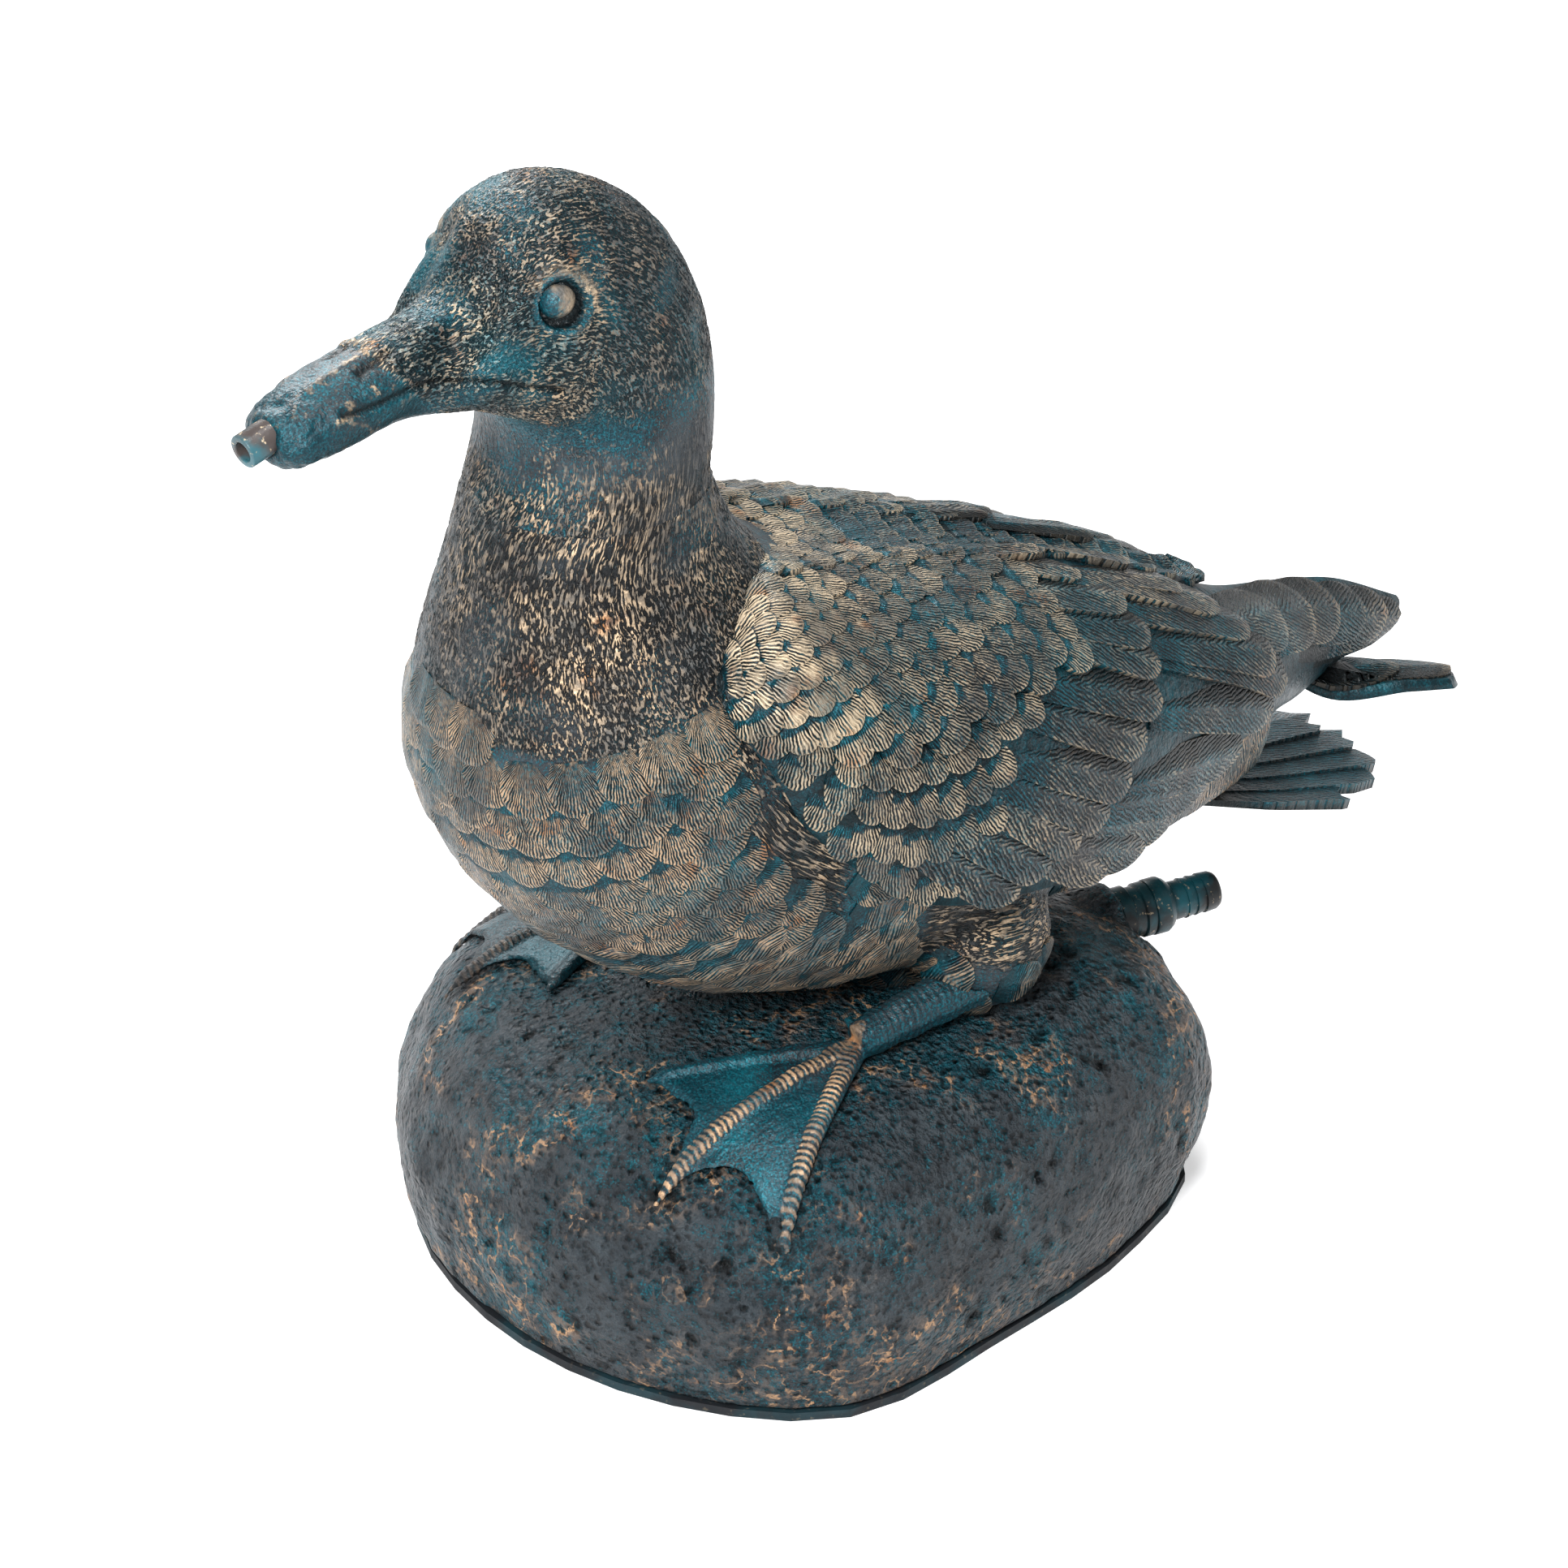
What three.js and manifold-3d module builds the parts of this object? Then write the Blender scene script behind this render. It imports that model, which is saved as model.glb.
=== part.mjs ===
// Duck fountain spout figure standing on a boulder, millimetres, +Z up.
// The bill points to -Y and the duck's left side is +X.
// The origin is the centre of the base plate's underside.
import * as THREE from 'three'
import { mergeVertices } from 'three/addons/utils/BufferGeometryUtils.js'
import Module from 'manifold-3d'

const wasm = await Module()
wasm.setup()

// Fits
const seatGap = 0.3 // left between two castings, and between a fitting and its seat
const channelGap = 0.6 // round the hose in its channel

// Overall sizes: the outlines in the tables below follow when they change
const rockTop = 104 // height of the boulder above the ground
const rockWidth = 241 // of the boulder's foot; the duck's feet follow it
const figureHeight = 327.5 // from the boulder's top to the crown

// Boulder and its base plate
const plateThickness = 3.4
const plateLip = 0.6 // the plate stands this far out of the boulder's foot
const bumpHeight = 1.6 // of the boulder's skin
const bumpSpan = 100 // length over which its waves are drawn
const rockFoot = [
  [-109, -92], [-58, -131], [14, -137], [78, -111], [119, -62], [113, 8],
  [99, 71], [67, 123], [-24, 130], [-92, 98], [-122, 8],
]
// Share of the height, share of the foot's size, shift in x and y
const rockLevels = [
  [0, 0.98, 0, 0], [0.1, 1, 0, 0], [0.24, 1.025, 1, 1], [0.42, 1.03, 1, 2], [0.58, 1, 2, 3],
  [0.72, 0.95, 3, 2], [0.84, 0.87, 3, 0], [0.93, 0.75, 1, -2], [0.98, 0.56, -1, -4], [1, 0.3, -4, -4],
]
const rockBelly = 0.45 // share of the height at which its side is upright
const rockSides = 40

// Torso from the neck joint round the breast to the rump, as pairs across its side outline.
// This and the tables after it give z from the boulder's top.
// [front or belly y, z, nape or back y, z, half width]
const torsoPairs = [
  [-125.5, 214, -46.5, 214, 39.5],
  [-131, 193, -39, 194, 44],
  [-139, 162, -24, 176, 55],
  [-144, 130, -4, 166, 67],
  [-142, 100, 18, 159, 76],
  [-126, 68, 42, 150, 79],
  [-96, 38, 66, 139, 79],
  [-52, 16, 88, 128, 77],
  [5, 6, 108, 118, 70],
  [62, 7, 128, 107, 59],
  [112, 10, 148, 96, 47],
  [150, 12, 168, 81, 36],
  [180, 14, 190, 61, 22],
]
const thigh = { x: 56, y: 34, z: 24, width: 20, length: 26, height: 28 } // half sizes

// Head and bill before the head is turned, as pairs across its side outline:
// [throat or chin y, z, nape or crown y, z, half width]
const headTurn = 10 // degrees, towards the duck's left
const headPairs = [
  [-125.5, 214, -46.5, 214, 39.5],
  [-119, 234, -44, 236, 39],
  [-122, 249, -44, 258, 38.5],
  [-136, 258, -49, 281, 37.5],
  [-146, 263, -62, 303, 36],
  [-156, 265, -81, 318.5, 33.5],
  [-162, 266, -105, 327.5, 30],
  [-168, 266.5, -127, 318.5, 22.5],
  [-174, 266.5, -141, 301.5, 17],
  [-182, 266.5, -160, 295.5, 16.5],
  [-194, 265.5, -180, 292, 16.5],
  [-206, 265.5, -199, 288, 16],
  [-214, 267, -211, 283, 13],
  [-217, 272, -217, 278, 6],
]
const eye = { x: 28, y: -120.5, z: 298.5, ball: 5.8, sunk: 1.5, ring: 8, ringWire: 1.3 }
const eyeTurns = [0.3, 0.25] // radians that the ring leans, about z and then y
const spigotRadius = 27 // the head's spigot in the neck's socket
const spigotDepth = 12
const spigotRoot = 6 // of the spigot inside the head

// Wing surface from the wrist to the rump, left side: [top edge], [bulge], [bottom edge], thickness
const wingStations = [
  [[52, -66, 170], [68, -80, 160], [66, -72, 138], 14],
  [[38, -44, 181], [90, -60, 176], [83, -48, 102], 20],
  [[26, -10, 170], [101, -20, 165], [89, -14, 72], 20],
  [[20, 30, 158], [101, 26, 152], [87, 30, 59], 18],
  [[14, 78, 141], [88, 78, 130], [73, 80, 48], 16],
  [[10, 126, 119], [68, 128, 108], [52, 130, 50], 14],
]
// The wings' ends cross: the left one lies over the right one, which is given as if it were a left one
const leftEnd = [
  [[5, 168, 95], [46, 172, 87], [36, 174, 54], 10],
  [[-8, 208, 78], [22, 210, 67], [13, 206, 40], 7],
  [[-18, 246, 62], [0, 244, 51], [-4, 238, 35], 6],
  [[-25, 284, 39], [-22, 288, 34], [-17, 269, 32], 5],
]
const rightEnd = [
  [[8, 168, 93], [44, 172, 86], [36, 174, 54], 10],
  [[6, 204, 53], [32, 206, 56], [28, 202, 44], 8],
  [[-4, 228, 32], [14, 228, 33], [20, 224, 30], 6],
  [[-17, 254, 32], [0, 252, 30], [12, 248, 27], 5],
  [[-21, 272, 29], [-15, 284, 26], [-2, 280, 22], 5],
]
// Feather tiers: [first station, last station, rows, feathers across, length, width]
const featherTiers = [
  [0.2, 1.6, 4, 5, 24, 19],
  [2, 3.3, 3, 5, 40, 27],
  [3.9, 5.3, 3, 4, 60, 29],
  [6.1, 7.3, 2, 3, 60, 20],
]
const featherLift = 2 // how far a feather's tip stands off the one below
const featherSink = 3 // how deep its underside is set into the wing
const featherRoot = 0.7 // a feather's upper face starts this far below the surface
const wingHub = [-35, 0, -35] // from the middle of the wing's outside to where its inside faces
const tailFan = [[2, 148, 21], [-13, 266, -18]] // root and tip of the middle tail feather
const tailForm = {
  count: 7, width: 18, spread: 9.4, step: 5.5, tilt: 1.2, lift: 1.5, sink: 3, shorter: 0.022, skew: 1.2,
}

// Feet: the same for both sides, left one given, on the ground plan
const ankle = [62, -22]
const toes = [[32, -88], [68, -108], [110, -88]] // inner, middle and outer toe's tips
const hindToe = [44, -14]
const toeRadius = 4.3
const toeLift = 0.6 // of a toe's middle over the boulder
const hindToeLift = 0.4
const hindToeRoot = [-2, 6] // from the ankle
const webThickness = 2.6
const webSink = 3 // the web's underside lies this far in the boulder before it is cut
const webReach = [0.06, 0.95, 0.16] // share of the toes where it starts, ends and dips between them
const legRadius = 8
const legLength = 52
const legRise = 10
const legSplay = 3

// Boss under the belly, the studs through it and the base plate's screws
const boss = { y: 16, width: 38, length: 26 }
const bossSink = 8 // of the boss below the boulder's top, before it is cut
const bellyTop = 22 // from the boulder's top
const studX = 25
const studRadius = 4
const studTop = 18
const studTail = 3 // below the nut
const clampedRock = 42 // from the boulder's top down to the face that the washers press on
const nutPocketRadius = 13
const nutRadius = 7.5
const nutThickness = 6.5
const washerRadius = 10
const washerThickness = 1.6
const screwRadius = 2.4
const screwHead = 4.6
const screwSunk = 0.4 // its head inside the plate's underside
const screwRim = 0.3
const screwLength = 18
const screwPoint = 1
const screwRoom = 2 // of the hole past the screw
const screwSpots = [[-74, -84], [76, -64], [64, 84], [-74, 84]]

// Water line
const spoutOuter = 11
const spoutBore = 6.6
const spoutReach = 7 // shows in front of the bill
const spoutPitch = 11 // degrees below level
const spoutRise = 0.8 // its axis at the bill's end lies this far above the middle
const spoutInside = 36
const hoseOuter = 15.2
const hoseBore = 11.6
const hoseGrip = 9 // of the hose over the spout tube
const hoseStop = 2 // between the hose's end and the shank's
const mouthDepth = 4 // the hose's bore is a little wider this far from its ends
const mouthExtra = 0.1
const hoseLead = [14, 28] // straight behind the connector's barb
const tipLead = [24, 8] // straight behind the spout tube
const hoseInRock = [[2, 30, -21], [0, 12, -6]] // points on the hose's way, z from the boulder's top
const hoseInBody = [[0, 2, 18], [0, -8, 51], [0, -28, 101], [0, -58, 154], [0, -80, 196]]
const hoseInHead = [[-3, 231], [-18, 262], [-44, 282]] // y from the neck's middle, z
const tailSeat = [17.46, 121.73, -22.64] // where the stepped connector leaves the boulder, z from its top
const tailYaw = 10.6 // degrees from straight back, towards the duck's left
const tailRise = 2.3
const tailLength = 41 // from the boulder to the outer end
const tailWall = 32 // of the boulder, round the connector's shank
const tailBoss = 14 // radius of the flat boss that the connector's flange seats on
const bossCut = 30 // of the boulder in front of that boss
const shankRadius = 7.6
const shankBore = 4.2
const gasketWidth = 2.3
const gasketThickness = 2
const locknutRadius = 10.8
const locknutThickness = 7
const barbLength = 15
const barbStep = 0.4 // between the barb's two ends, across the radius
const shankSpare = 1.5 // past the locknut
const shankEnd = tailWall + gasketThickness + locknutThickness + 3 * seatGap + shankSpare
const clipWidth = 9
const clipBand = 0.9
const clipInset = 6 // of the clip from the hose's end
const clipHousing = [12, 5, 8] // its screw housing
const clipOverlap = 0.4 // of the housing over the band
const pocketWidth = 44
const pocketLength = 62
const pocketRoom = 1 // over the locknut

// Colours
const bronze = { color: 0x2f4a52, roughness: 0.55, metalness: 0.35 }
const stone = { color: 0x23414a, roughness: 0.7, metalness: 0.2 }
const feetPaint = { color: 0x3a5a60, roughness: 0.5, metalness: 0.4 }
const blackRubber = { color: 0x1b1b1b, roughness: 0.9, metalness: 0 }
const blackPlastic = { color: 0x15181a, roughness: 0.45, metalness: 0 }
const steel = { color: 0x9a9c9e, roughness: 0.35, metalness: 0.9 }
const clearVinyl = { color: 0xc9cfc8, roughness: 0.3, metalness: 0 }
const greyPlastic = { color: 0x6c6260, roughness: 0.45, metalness: 0 }

const fullTurn = 2 * Math.PI
const radians = THREE.MathUtils.degToRad
const vec = (x, y, z) => new THREE.Vector3(x, y, z)
const mix = THREE.MathUtils.lerp
const largest = (rows, k) => Math.max(...rows.map((row) => row[k]))
const least = (rows, k) => Math.min(...rows.map((row) => row[k]))

// How far the overall sizes stretch the tables
const wide = rockWidth / (largest(rockFoot, 0) - least(rockFoot, 0))
const tall = figureHeight / largest(headPairs, 3)
const above = (z) => rockTop + z * tall
const placed = ([x, y, z]) => vec(x, y, above(z))

// Closed surfaces and solids
function skin(rings) {
  const count = rings[0].length
  const points = rings.flat()
  const index = []
  for (let i = 0; i < rings.length - 1; i++) {
    for (let j = 0; j < count; j++) {
      const k = (j + 1) % count
      const [a, b, c, d] = [i * count + j, i * count + k, (i + 1) * count + j, (i + 1) * count + k]
      index.push(a, b, c, b, d, c)
    }
  }
  const lastRing = (rings.length - 1) * count
  for (const [ring, first, forward] of [[rings[0], 0, false], [rings.at(-1), lastRing, true]]) {
    const hub = points.length
    points.push(ring.reduce((sum, p) => sum.add(p), vec(0, 0, 0)).divideScalar(count))
    for (let j = 0; j < count; j++) {
      const k = (j + 1) % count
      index.push(hub, first + (forward ? j : k), first + (forward ? k : j))
    }
  }
  const geometry = new THREE.BufferGeometry().setFromPoints(points)
  geometry.setIndex(index)
  return geometry
}

function solid(geometry) {
  const bare = geometry.clone()
  bare.deleteAttribute('normal')
  bare.deleteAttribute('uv')
  const welded = mergeVertices(bare, 1e-4)
  const p = welded.attributes.position
  const triVerts = new Uint32Array(welded.index.array)
  let volume = 0
  for (let i = 0; i < triVerts.length; i += 3) {
    const [a, b, c] = [0, 1, 2].map((k) => vec().fromBufferAttribute(p, triVerts[i + k]))
    volume += a.dot(b.cross(c))
  }
  if (volume < 0) {
    for (let i = 0; i < triVerts.length; i += 3) triVerts.subarray(i, i + 2).reverse()
  }
  return new wasm.Manifold(new wasm.Mesh({ numProp: 3, vertProperties: new Float32Array(p.array), triVerts }))
}

const crumb = 0.1 // facets flatter than this are merged
const featherCrumb = 0.25
const moved = (body, matrix) => body.transform(matrix.elements)
const joined = (bodies) => wasm.Manifold.union(bodies)

// The largest body, without the crumbs that a cut leaves
function mainBody(body) {
  const bodies = body.decompose()
  bodies.sort((a, b) => b.volume() - a.volume())
  return bodies[0]
}

// The body with the seat gap round it
function spread(body) {
  const along = (axis, way) => [0, 1, 2].map((k) => (k === axis ? way * seatGap : 0))
  const ways = [0, 1, 2].flatMap((axis) => [along(axis, 1), along(axis, -1)])
  return joined([body, ...ways.map((way) => body.translate(way))])
}

function lathe(profile, segments = 32) {
  const points = profile.map(([radius, height]) => new THREE.Vector2(radius, height))
  const geometry = new THREE.LatheGeometry(points, segments)
  geometry.rotateX(Math.PI / 2) // the axis becomes +Z
  return geometry
}

const cylinder = (radius, from, to, segments = 24) =>
  solid(lathe([[0, from], [radius, from], [radius, to], [0, to]], segments))

const nut = (radius, bore, from, height) =>
  cylinder(radius, from, from + height, 6).subtract(cylinder(bore, from - 1, from + height + 1, 16))

function tube(path, radius, steps, sides = 12) {
  const section = new THREE.Shape()
  section.absarc(0, 0, radius, 0, fullTurn)
  const settings = { extrudePath: path, steps, curveSegments: sides / 2, bevelEnabled: false }
  return new THREE.ExtrudeGeometry(section, settings)
}

const parts = new THREE.Group()

function add(name, body, look, matrix) {
  const mesh = body.getMesh()
  const geometry = new THREE.BufferGeometry()
  geometry.setAttribute('position', new THREE.BufferAttribute(new Float32Array(mesh.vertProperties), 3))
  geometry.setIndex(new THREE.BufferAttribute(new Uint32Array(mesh.triVerts), 1))
  const part = new THREE.Mesh(geometry, new THREE.MeshStandardMaterial(look))
  part.name = name
  if (matrix) part.applyMatrix4(matrix)
  parts.add(part)
  return part
}

// Boulder
function rockNoise(place) {
  const { x, y, z } = place.clone().divideScalar(bumpSpan)
  return Math.sin(6.1 * x + 1.3) * Math.sin(5.7 * y + 0.6) +
    0.6 * Math.sin(13 * x - 5 * z + 2.1) * Math.sin(11 * y + 9 * z) +
    0.35 * Math.sin(27 * x + 21 * y + 19 * z)
}

function footOutline(grow) {
  const knots = rockFoot.map(([x, y]) => vec(x * wide, y, 0))
  const points = new THREE.CatmullRomCurve3(knots, true, 'centripetal').getSpacedPoints(rockSides)
  return points.slice(0, -1).map((p) => p.addScaledVector(p.clone().normalize(), grow))
}

function rockSkin(grow) {
  const foot = footOutline(0)
  const bottom = plateThickness + seatGap
  const rings = rockLevels.map(([share, size, dx, dy]) => foot.map((p) => {
    const q = vec(p.x * size + dx, p.y * size + dy, mix(bottom, rockTop, share))
    const out = vec(p.x, p.y, rockTop * (share - rockBelly)).normalize()
    const rough = share > 0 ? bumpHeight * rockNoise(q) : 0
    return q.addScaledVector(out, rough + grow)
  }))
  rings[0].forEach((p) => p.setZ(bottom - grow))
  return skin(rings)
}

const rockBody = solid(rockSkin(0))
const rockCutter = solid(rockSkin(seatGap))

// Height of the boulder under a point, for what stands on it
const rockFaces = (() => {
  const mesh = rockBody.getMesh()
  const at = (i) => vec().fromArray(mesh.vertProperties, 3 * mesh.triVerts[i])
  return Array.from({ length: mesh.triVerts.length / 3 }, (_, i) => [at(3 * i), at(3 * i + 1), at(3 * i + 2)])
})()

function rockHeight(x, y) {
  let top = plateThickness
  for (const [a, b, c] of rockFaces) {
    const area = (b.x - a.x) * (c.y - a.y) - (c.x - a.x) * (b.y - a.y)
    if (area <= 1e-9) continue
    const u = ((b.x - x) * (c.y - y) - (c.x - x) * (b.y - y)) / area
    const v = ((c.x - x) * (a.y - y) - (a.x - x) * (c.y - y)) / area
    if (u < 0 || v < 0 || u + v > 1) continue
    top = Math.max(top, u * a.z + v * b.z + (1 - u - v) * c.z)
  }
  return top
}

// Skins lofted across outline pairs
function pairRings(pairs, { steps, sides, grow = 0, centre = 0.47, square = 2.2 }) {
  const curve = (pick) => new THREE.CatmullRomCurve3(pairs.map(pick), false, 'catmullrom', 0.5)
  const outer = curve(([y, z]) => vec(0, y, above(z)))
  const inner = curve(([, , y, z]) => vec(0, y, above(z)))
  const width = curve(([, , , , w], i) => vec(w, i, 0))
  const rings = []
  for (let i = 0; i <= steps; i++) {
    const t = i / steps
    const [from, to] = [outer.getPoint(t), inner.getPoint(t)]
    const across = to.clone().sub(from)
    const length = across.length()
    across.normalize()
    const hub = from.clone().addScaledVector(across, length * centre)
    const half = width.getPoint(t).x + grow
    rings.push(Array.from({ length: sides }, (_, j) => {
      const a = (fullTurn * j) / sides
      const soft = (v) => Math.sign(v) * Math.abs(v) ** (2 / square)
      const reach = Math.sin(a) > 0 ? length * (1 - centre) + grow : length * centre + grow
      const side = vec(soft(Math.cos(a)) * half, 0, 0)
      return hub.clone().addScaledVector(across, soft(Math.sin(a)) * reach).add(side)
    }))
  }
  return rings
}

// Where the head turns on the neck
const neckY = (torsoPairs[0][0] + torsoPairs[0][2]) / 2
const neckZ = above(torsoPairs[0][1])
const headMatrix = new THREE.Matrix4().makeTranslation(0, neckY, 0)
  .multiply(new THREE.Matrix4().makeRotationZ(radians(headTurn)))
  .multiply(new THREE.Matrix4().makeTranslation(0, -neckY, 0))
const inHead = (x, y, z) => vec(x, y, z).applyMatrix4(headMatrix)

// Frame at a point: +Z along the axis, +X level
function axisMatrix(origin, axis) {
  const z = axis.clone().normalize()
  const x = Math.abs(z.z) > 0.999 ? vec(1, 0, 0) : vec(0, 0, 1).cross(z).normalize()
  return new THREE.Matrix4().makeBasis(x, z.clone().cross(x), z).setPosition(origin)
}

// Water line: spout tube, hose and stepped connector
const billTip = headPairs.at(-1)
const spoutAxis = vec(0, -Math.cos(radians(spoutPitch)), -Math.sin(radians(spoutPitch)))
  .applyAxisAngle(vec(0, 0, 1), radians(headTurn))
const spoutMouth = inHead(0, billTip[0], above((billTip[1] + billTip[3]) / 2) + spoutRise)
const spoutMatrix = axisMatrix(spoutMouth, spoutAxis)
const tailAxis = vec(0, Math.cos(radians(tailRise)), Math.sin(radians(tailRise)))
  .applyAxisAngle(vec(0, 0, 1), -radians(tailYaw))
const tailRoot = vec(tailSeat[0], tailSeat[1], rockTop + tailSeat[2])
const tailMatrix = axisMatrix(tailRoot, tailAxis)
const alongTail = (s) => tailRoot.clone().addScaledVector(tailAxis, s)
const alongSpout = (s) => spoutMouth.clone().addScaledVector(spoutAxis, s)

const hoseStart = shankEnd + hoseStop
const hoseRoute = new THREE.CatmullRomCurve3([
  ...[0, ...hoseLead].map((lead) => alongTail(-hoseStart - lead)),
  ...hoseInRock.map(([x, y, z]) => vec(x, y, rockTop + z)),
  ...hoseInBody.map(placed),
  ...hoseInHead.map(([y, z]) => inHead(0, neckY + y, above(z))),
  ...tipLead.map((lead) => alongSpout(-spoutInside - lead)),
  alongSpout(hoseGrip - spoutInside),
], false, 'catmullrom', 0.5)
const hoseSteps = 42
const hoseSides = 10
const channel = solid(tube(hoseRoute, hoseOuter / 2 + channelGap, hoseSteps, hoseSides))

// Service pocket under the boulder, where the hose meets the connector
const pocketRoof = locknutRadius + pocketRoom // above the connector's axis
const pocket = moved(solid(new THREE.BoxGeometry(pocketWidth, pocketRoof + rockTop, pocketLength)
  .translate(0, (pocketRoof - rockTop) / 2, -tailWall - pocketLength / 2)), tailMatrix)

// Torso with its thighs and the boss that stands on the boulder
function ellipsoid({ x, y, z, width, length, height }, grow = 0) {
  const ball = new THREE.SphereGeometry(1, 18, 12)
  ball.scale(width + grow, length + grow, height + grow)
  return solid(ball.translate(x, y, z))
}

function torso(grow) {
  const thighs = [1, -1].map((side) => ellipsoid({ ...thigh, x: side * thigh.x, z: above(thigh.z) }, grow))
  return joined([solid(skin(pairRings(torsoPairs, { steps: 20, sides: 22, grow }))), ...thighs])
}

const torsoCutter = torso(seatGap)
const bossShape = new THREE.Matrix4().makeScale(boss.width, boss.length, 1).setPosition(0, boss.y, 0)
const seatBoss = moved(cylinder(1, rockTop - bossSink, above(bellyTop), 32), bossShape)
const nutFloor = rockTop - clampedRock
const studPlaces = [1, -1].map((side) => [side * studX, boss.y, 0])
const studHole = cylinder(studRadius + seatGap, nutFloor - 1, above(studTop) + 1, 16)
const studHoles = studPlaces.map((place) => studHole.translate(place))
const nutPockets = studPlaces.map((place) => cylinder(nutPocketRadius, 0, nutFloor, 20).translate(place))
const socketFloor = neckZ - spigotDepth - seatGap
const socket = cylinder(spigotRadius + seatGap, socketFloor, neckZ + 1, 36).translate([0, neckY, 0])
const body = joined([torso(0), seatBoss]).subtract(joined([rockCutter, channel, socket, ...studHoles]))
add('body_casting', mainBody(body).simplify(crumb), bronze)

// Head with its bill, eyes and spigot
const eyeSolids = [1, -1].flatMap((side) => {
  const ball = new THREE.SphereGeometry(eye.ball, 14, 10)
  ball.translate(side * (eye.x - eye.sunk), eye.y, above(eye.z))
  const ring = new THREE.TorusGeometry(eye.ring, eye.ringWire, 6, 20)
  ring.rotateY(Math.PI / 2).rotateZ(side * -eyeTurns[0]).rotateY(side * -eyeTurns[1])
  return [solid(ball), solid(ring.translate(side * eye.x, eye.y, above(eye.z)))]
})
const headRings = pairRings(headPairs, { steps: 24, sides: 24, centre: 0.45, square: 2.05 })
headRings[0].forEach((p) => p.setZ(neckZ + seatGap))
const spigot = cylinder(spigotRadius, neckZ - spigotDepth, neckZ + spigotRoot, 36).translate([0, neckY, 0])
const head = moved(joined([solid(skin(headRings)), ...eyeSolids, spigot]), headMatrix)
const spoutBoreHole = moved(cylinder(spoutOuter / 2 + seatGap, -spoutInside, 4), spoutMatrix)
add('head_casting', mainBody(head.subtract(joined([channel, spoutBoreHole]))).simplify(crumb), bronze)

// Feather blades
const bladeWidths = [[0, 0.8], [0.7, 1], [1, 0.42]] // share of the length, share of the width

function blade(root, tip, normal, width, lift, sink) {
  const y = tip.clone().sub(root)
  const length = y.length()
  y.normalize()
  const x = y.clone().cross(normal).normalize()
  const place = new THREE.Matrix4().makeBasis(x, y, x.clone().cross(y)).setPosition(root)
  const rings = bladeWidths.map(([share, size]) => {
    const half = (width * size) / 2
    const top = mix(-featherRoot, lift, share)
    return [[-half, -sink], [-half, top], [half, top], [half, -sink]]
      .map(([a, b]) => vec(a, length * share, b).applyMatrix4(place))
  })
  return solid(skin(rings))
}

// One wing: a shell over the stations, covered with feathers that overlap towards the rear
function wing(end) {
  const stations = [...wingStations, ...end]
  const last = stations.length - 1
  const curves = [0, 1, 2].map((k) =>
    new THREE.CatmullRomCurve3(stations.map((s) => placed(s[k])), false, 'catmullrom', 0.5))

  function at(station, v) {
    const [top, bulge, bottom] = curves.map((curve) => curve.getPoint(Math.min(station / last, 1)))
    top.multiplyScalar((1 - v) ** 2)
    return top.addScaledVector(bulge, 2 * v * (1 - v)).addScaledVector(bottom, v ** 2)
  }

  function normal(station, v) {
    const along = at(station + 0.05, v).sub(at(station - 0.05, v))
    const down = at(station, v + 0.02).sub(at(station, v - 0.02))
    return down.cross(along).normalize()
  }

  const across = 5
  const rings = Array.from({ length: 2 * last + 1 }, (_, i) => {
    const next = Math.min(Math.floor(i / 2) + 1, last)
    const thickness = mix(stations[Math.floor(i / 2)][3], stations[next][3], (i % 2) / 2)
    const outer = Array.from({ length: across + 1 }, (_, j) => at(i / 2, j / across))
    const hub = at(i / 2, 0.5).add(vec(...wingHub))
    const inner = outer.map((p) => p.clone().addScaledVector(hub.clone().sub(p).normalize(), thickness))
    return [...outer, ...inner.reverse()]
  })

  const feathers = featherTiers.flatMap(([first, final, rows, count, length, width]) =>
    Array.from({ length: rows * count }, (_, k) => {
      const [row, place] = [Math.floor(k / count), k % count]
      const station = mix(first, final, row / (rows - 1))
      const v = (place + (row % 2 ? 0.75 : 0.3)) / count
      const speed = at(station + 0.1, v).distanceTo(at(station - 0.1, v)) / 0.2
      const tip = at(station + length / speed, v)
      return blade(at(station, v), tip, normal(station, v), width, featherLift, featherSink)
    }))
  return joined([solid(skin(rings)), ...feathers])
}

const leftWing = mainBody(wing(leftEnd).subtract(torsoCutter)).simplify(featherCrumb)
const rightBlank = mainBody(wing(rightEnd).mirror([1, 0, 0]).subtract(torsoCutter)).simplify(featherCrumb)
const rightWing = mainBody(rightBlank.subtract(spread(leftWing)))
add('left_wing', leftWing, bronze)
add('right_wing', rightWing, bronze)

// Long feathers fanned from a root to a tip
function fan([root, tip], { count, width, spread, step, tilt, lift, sink, shorter, skew }) {
  const [a, b] = [placed(root), placed(tip)]
  const side = b.clone().sub(a).cross(vec(0, 0, 1)).normalize()
  return Array.from({ length: count }, (_, i) => {
    const k = i - (count - 1) / 2
    const from = a.clone().addScaledVector(side, k * step)
    const to = b.clone().addScaledVector(side, k * spread).addScaledVector(vec(0, 0, 1), -tilt * k)
    to.lerp(from, shorter * (k + skew) ** 2)
    return blade(from, to, vec(0, 0, 1), width, lift, sink)
  })
}

// Tail fan under the wing ends
add('tail_fan', mainBody(joined(fan(tailFan, tailForm)).subtract(torsoCutter)), bronze)

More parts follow.
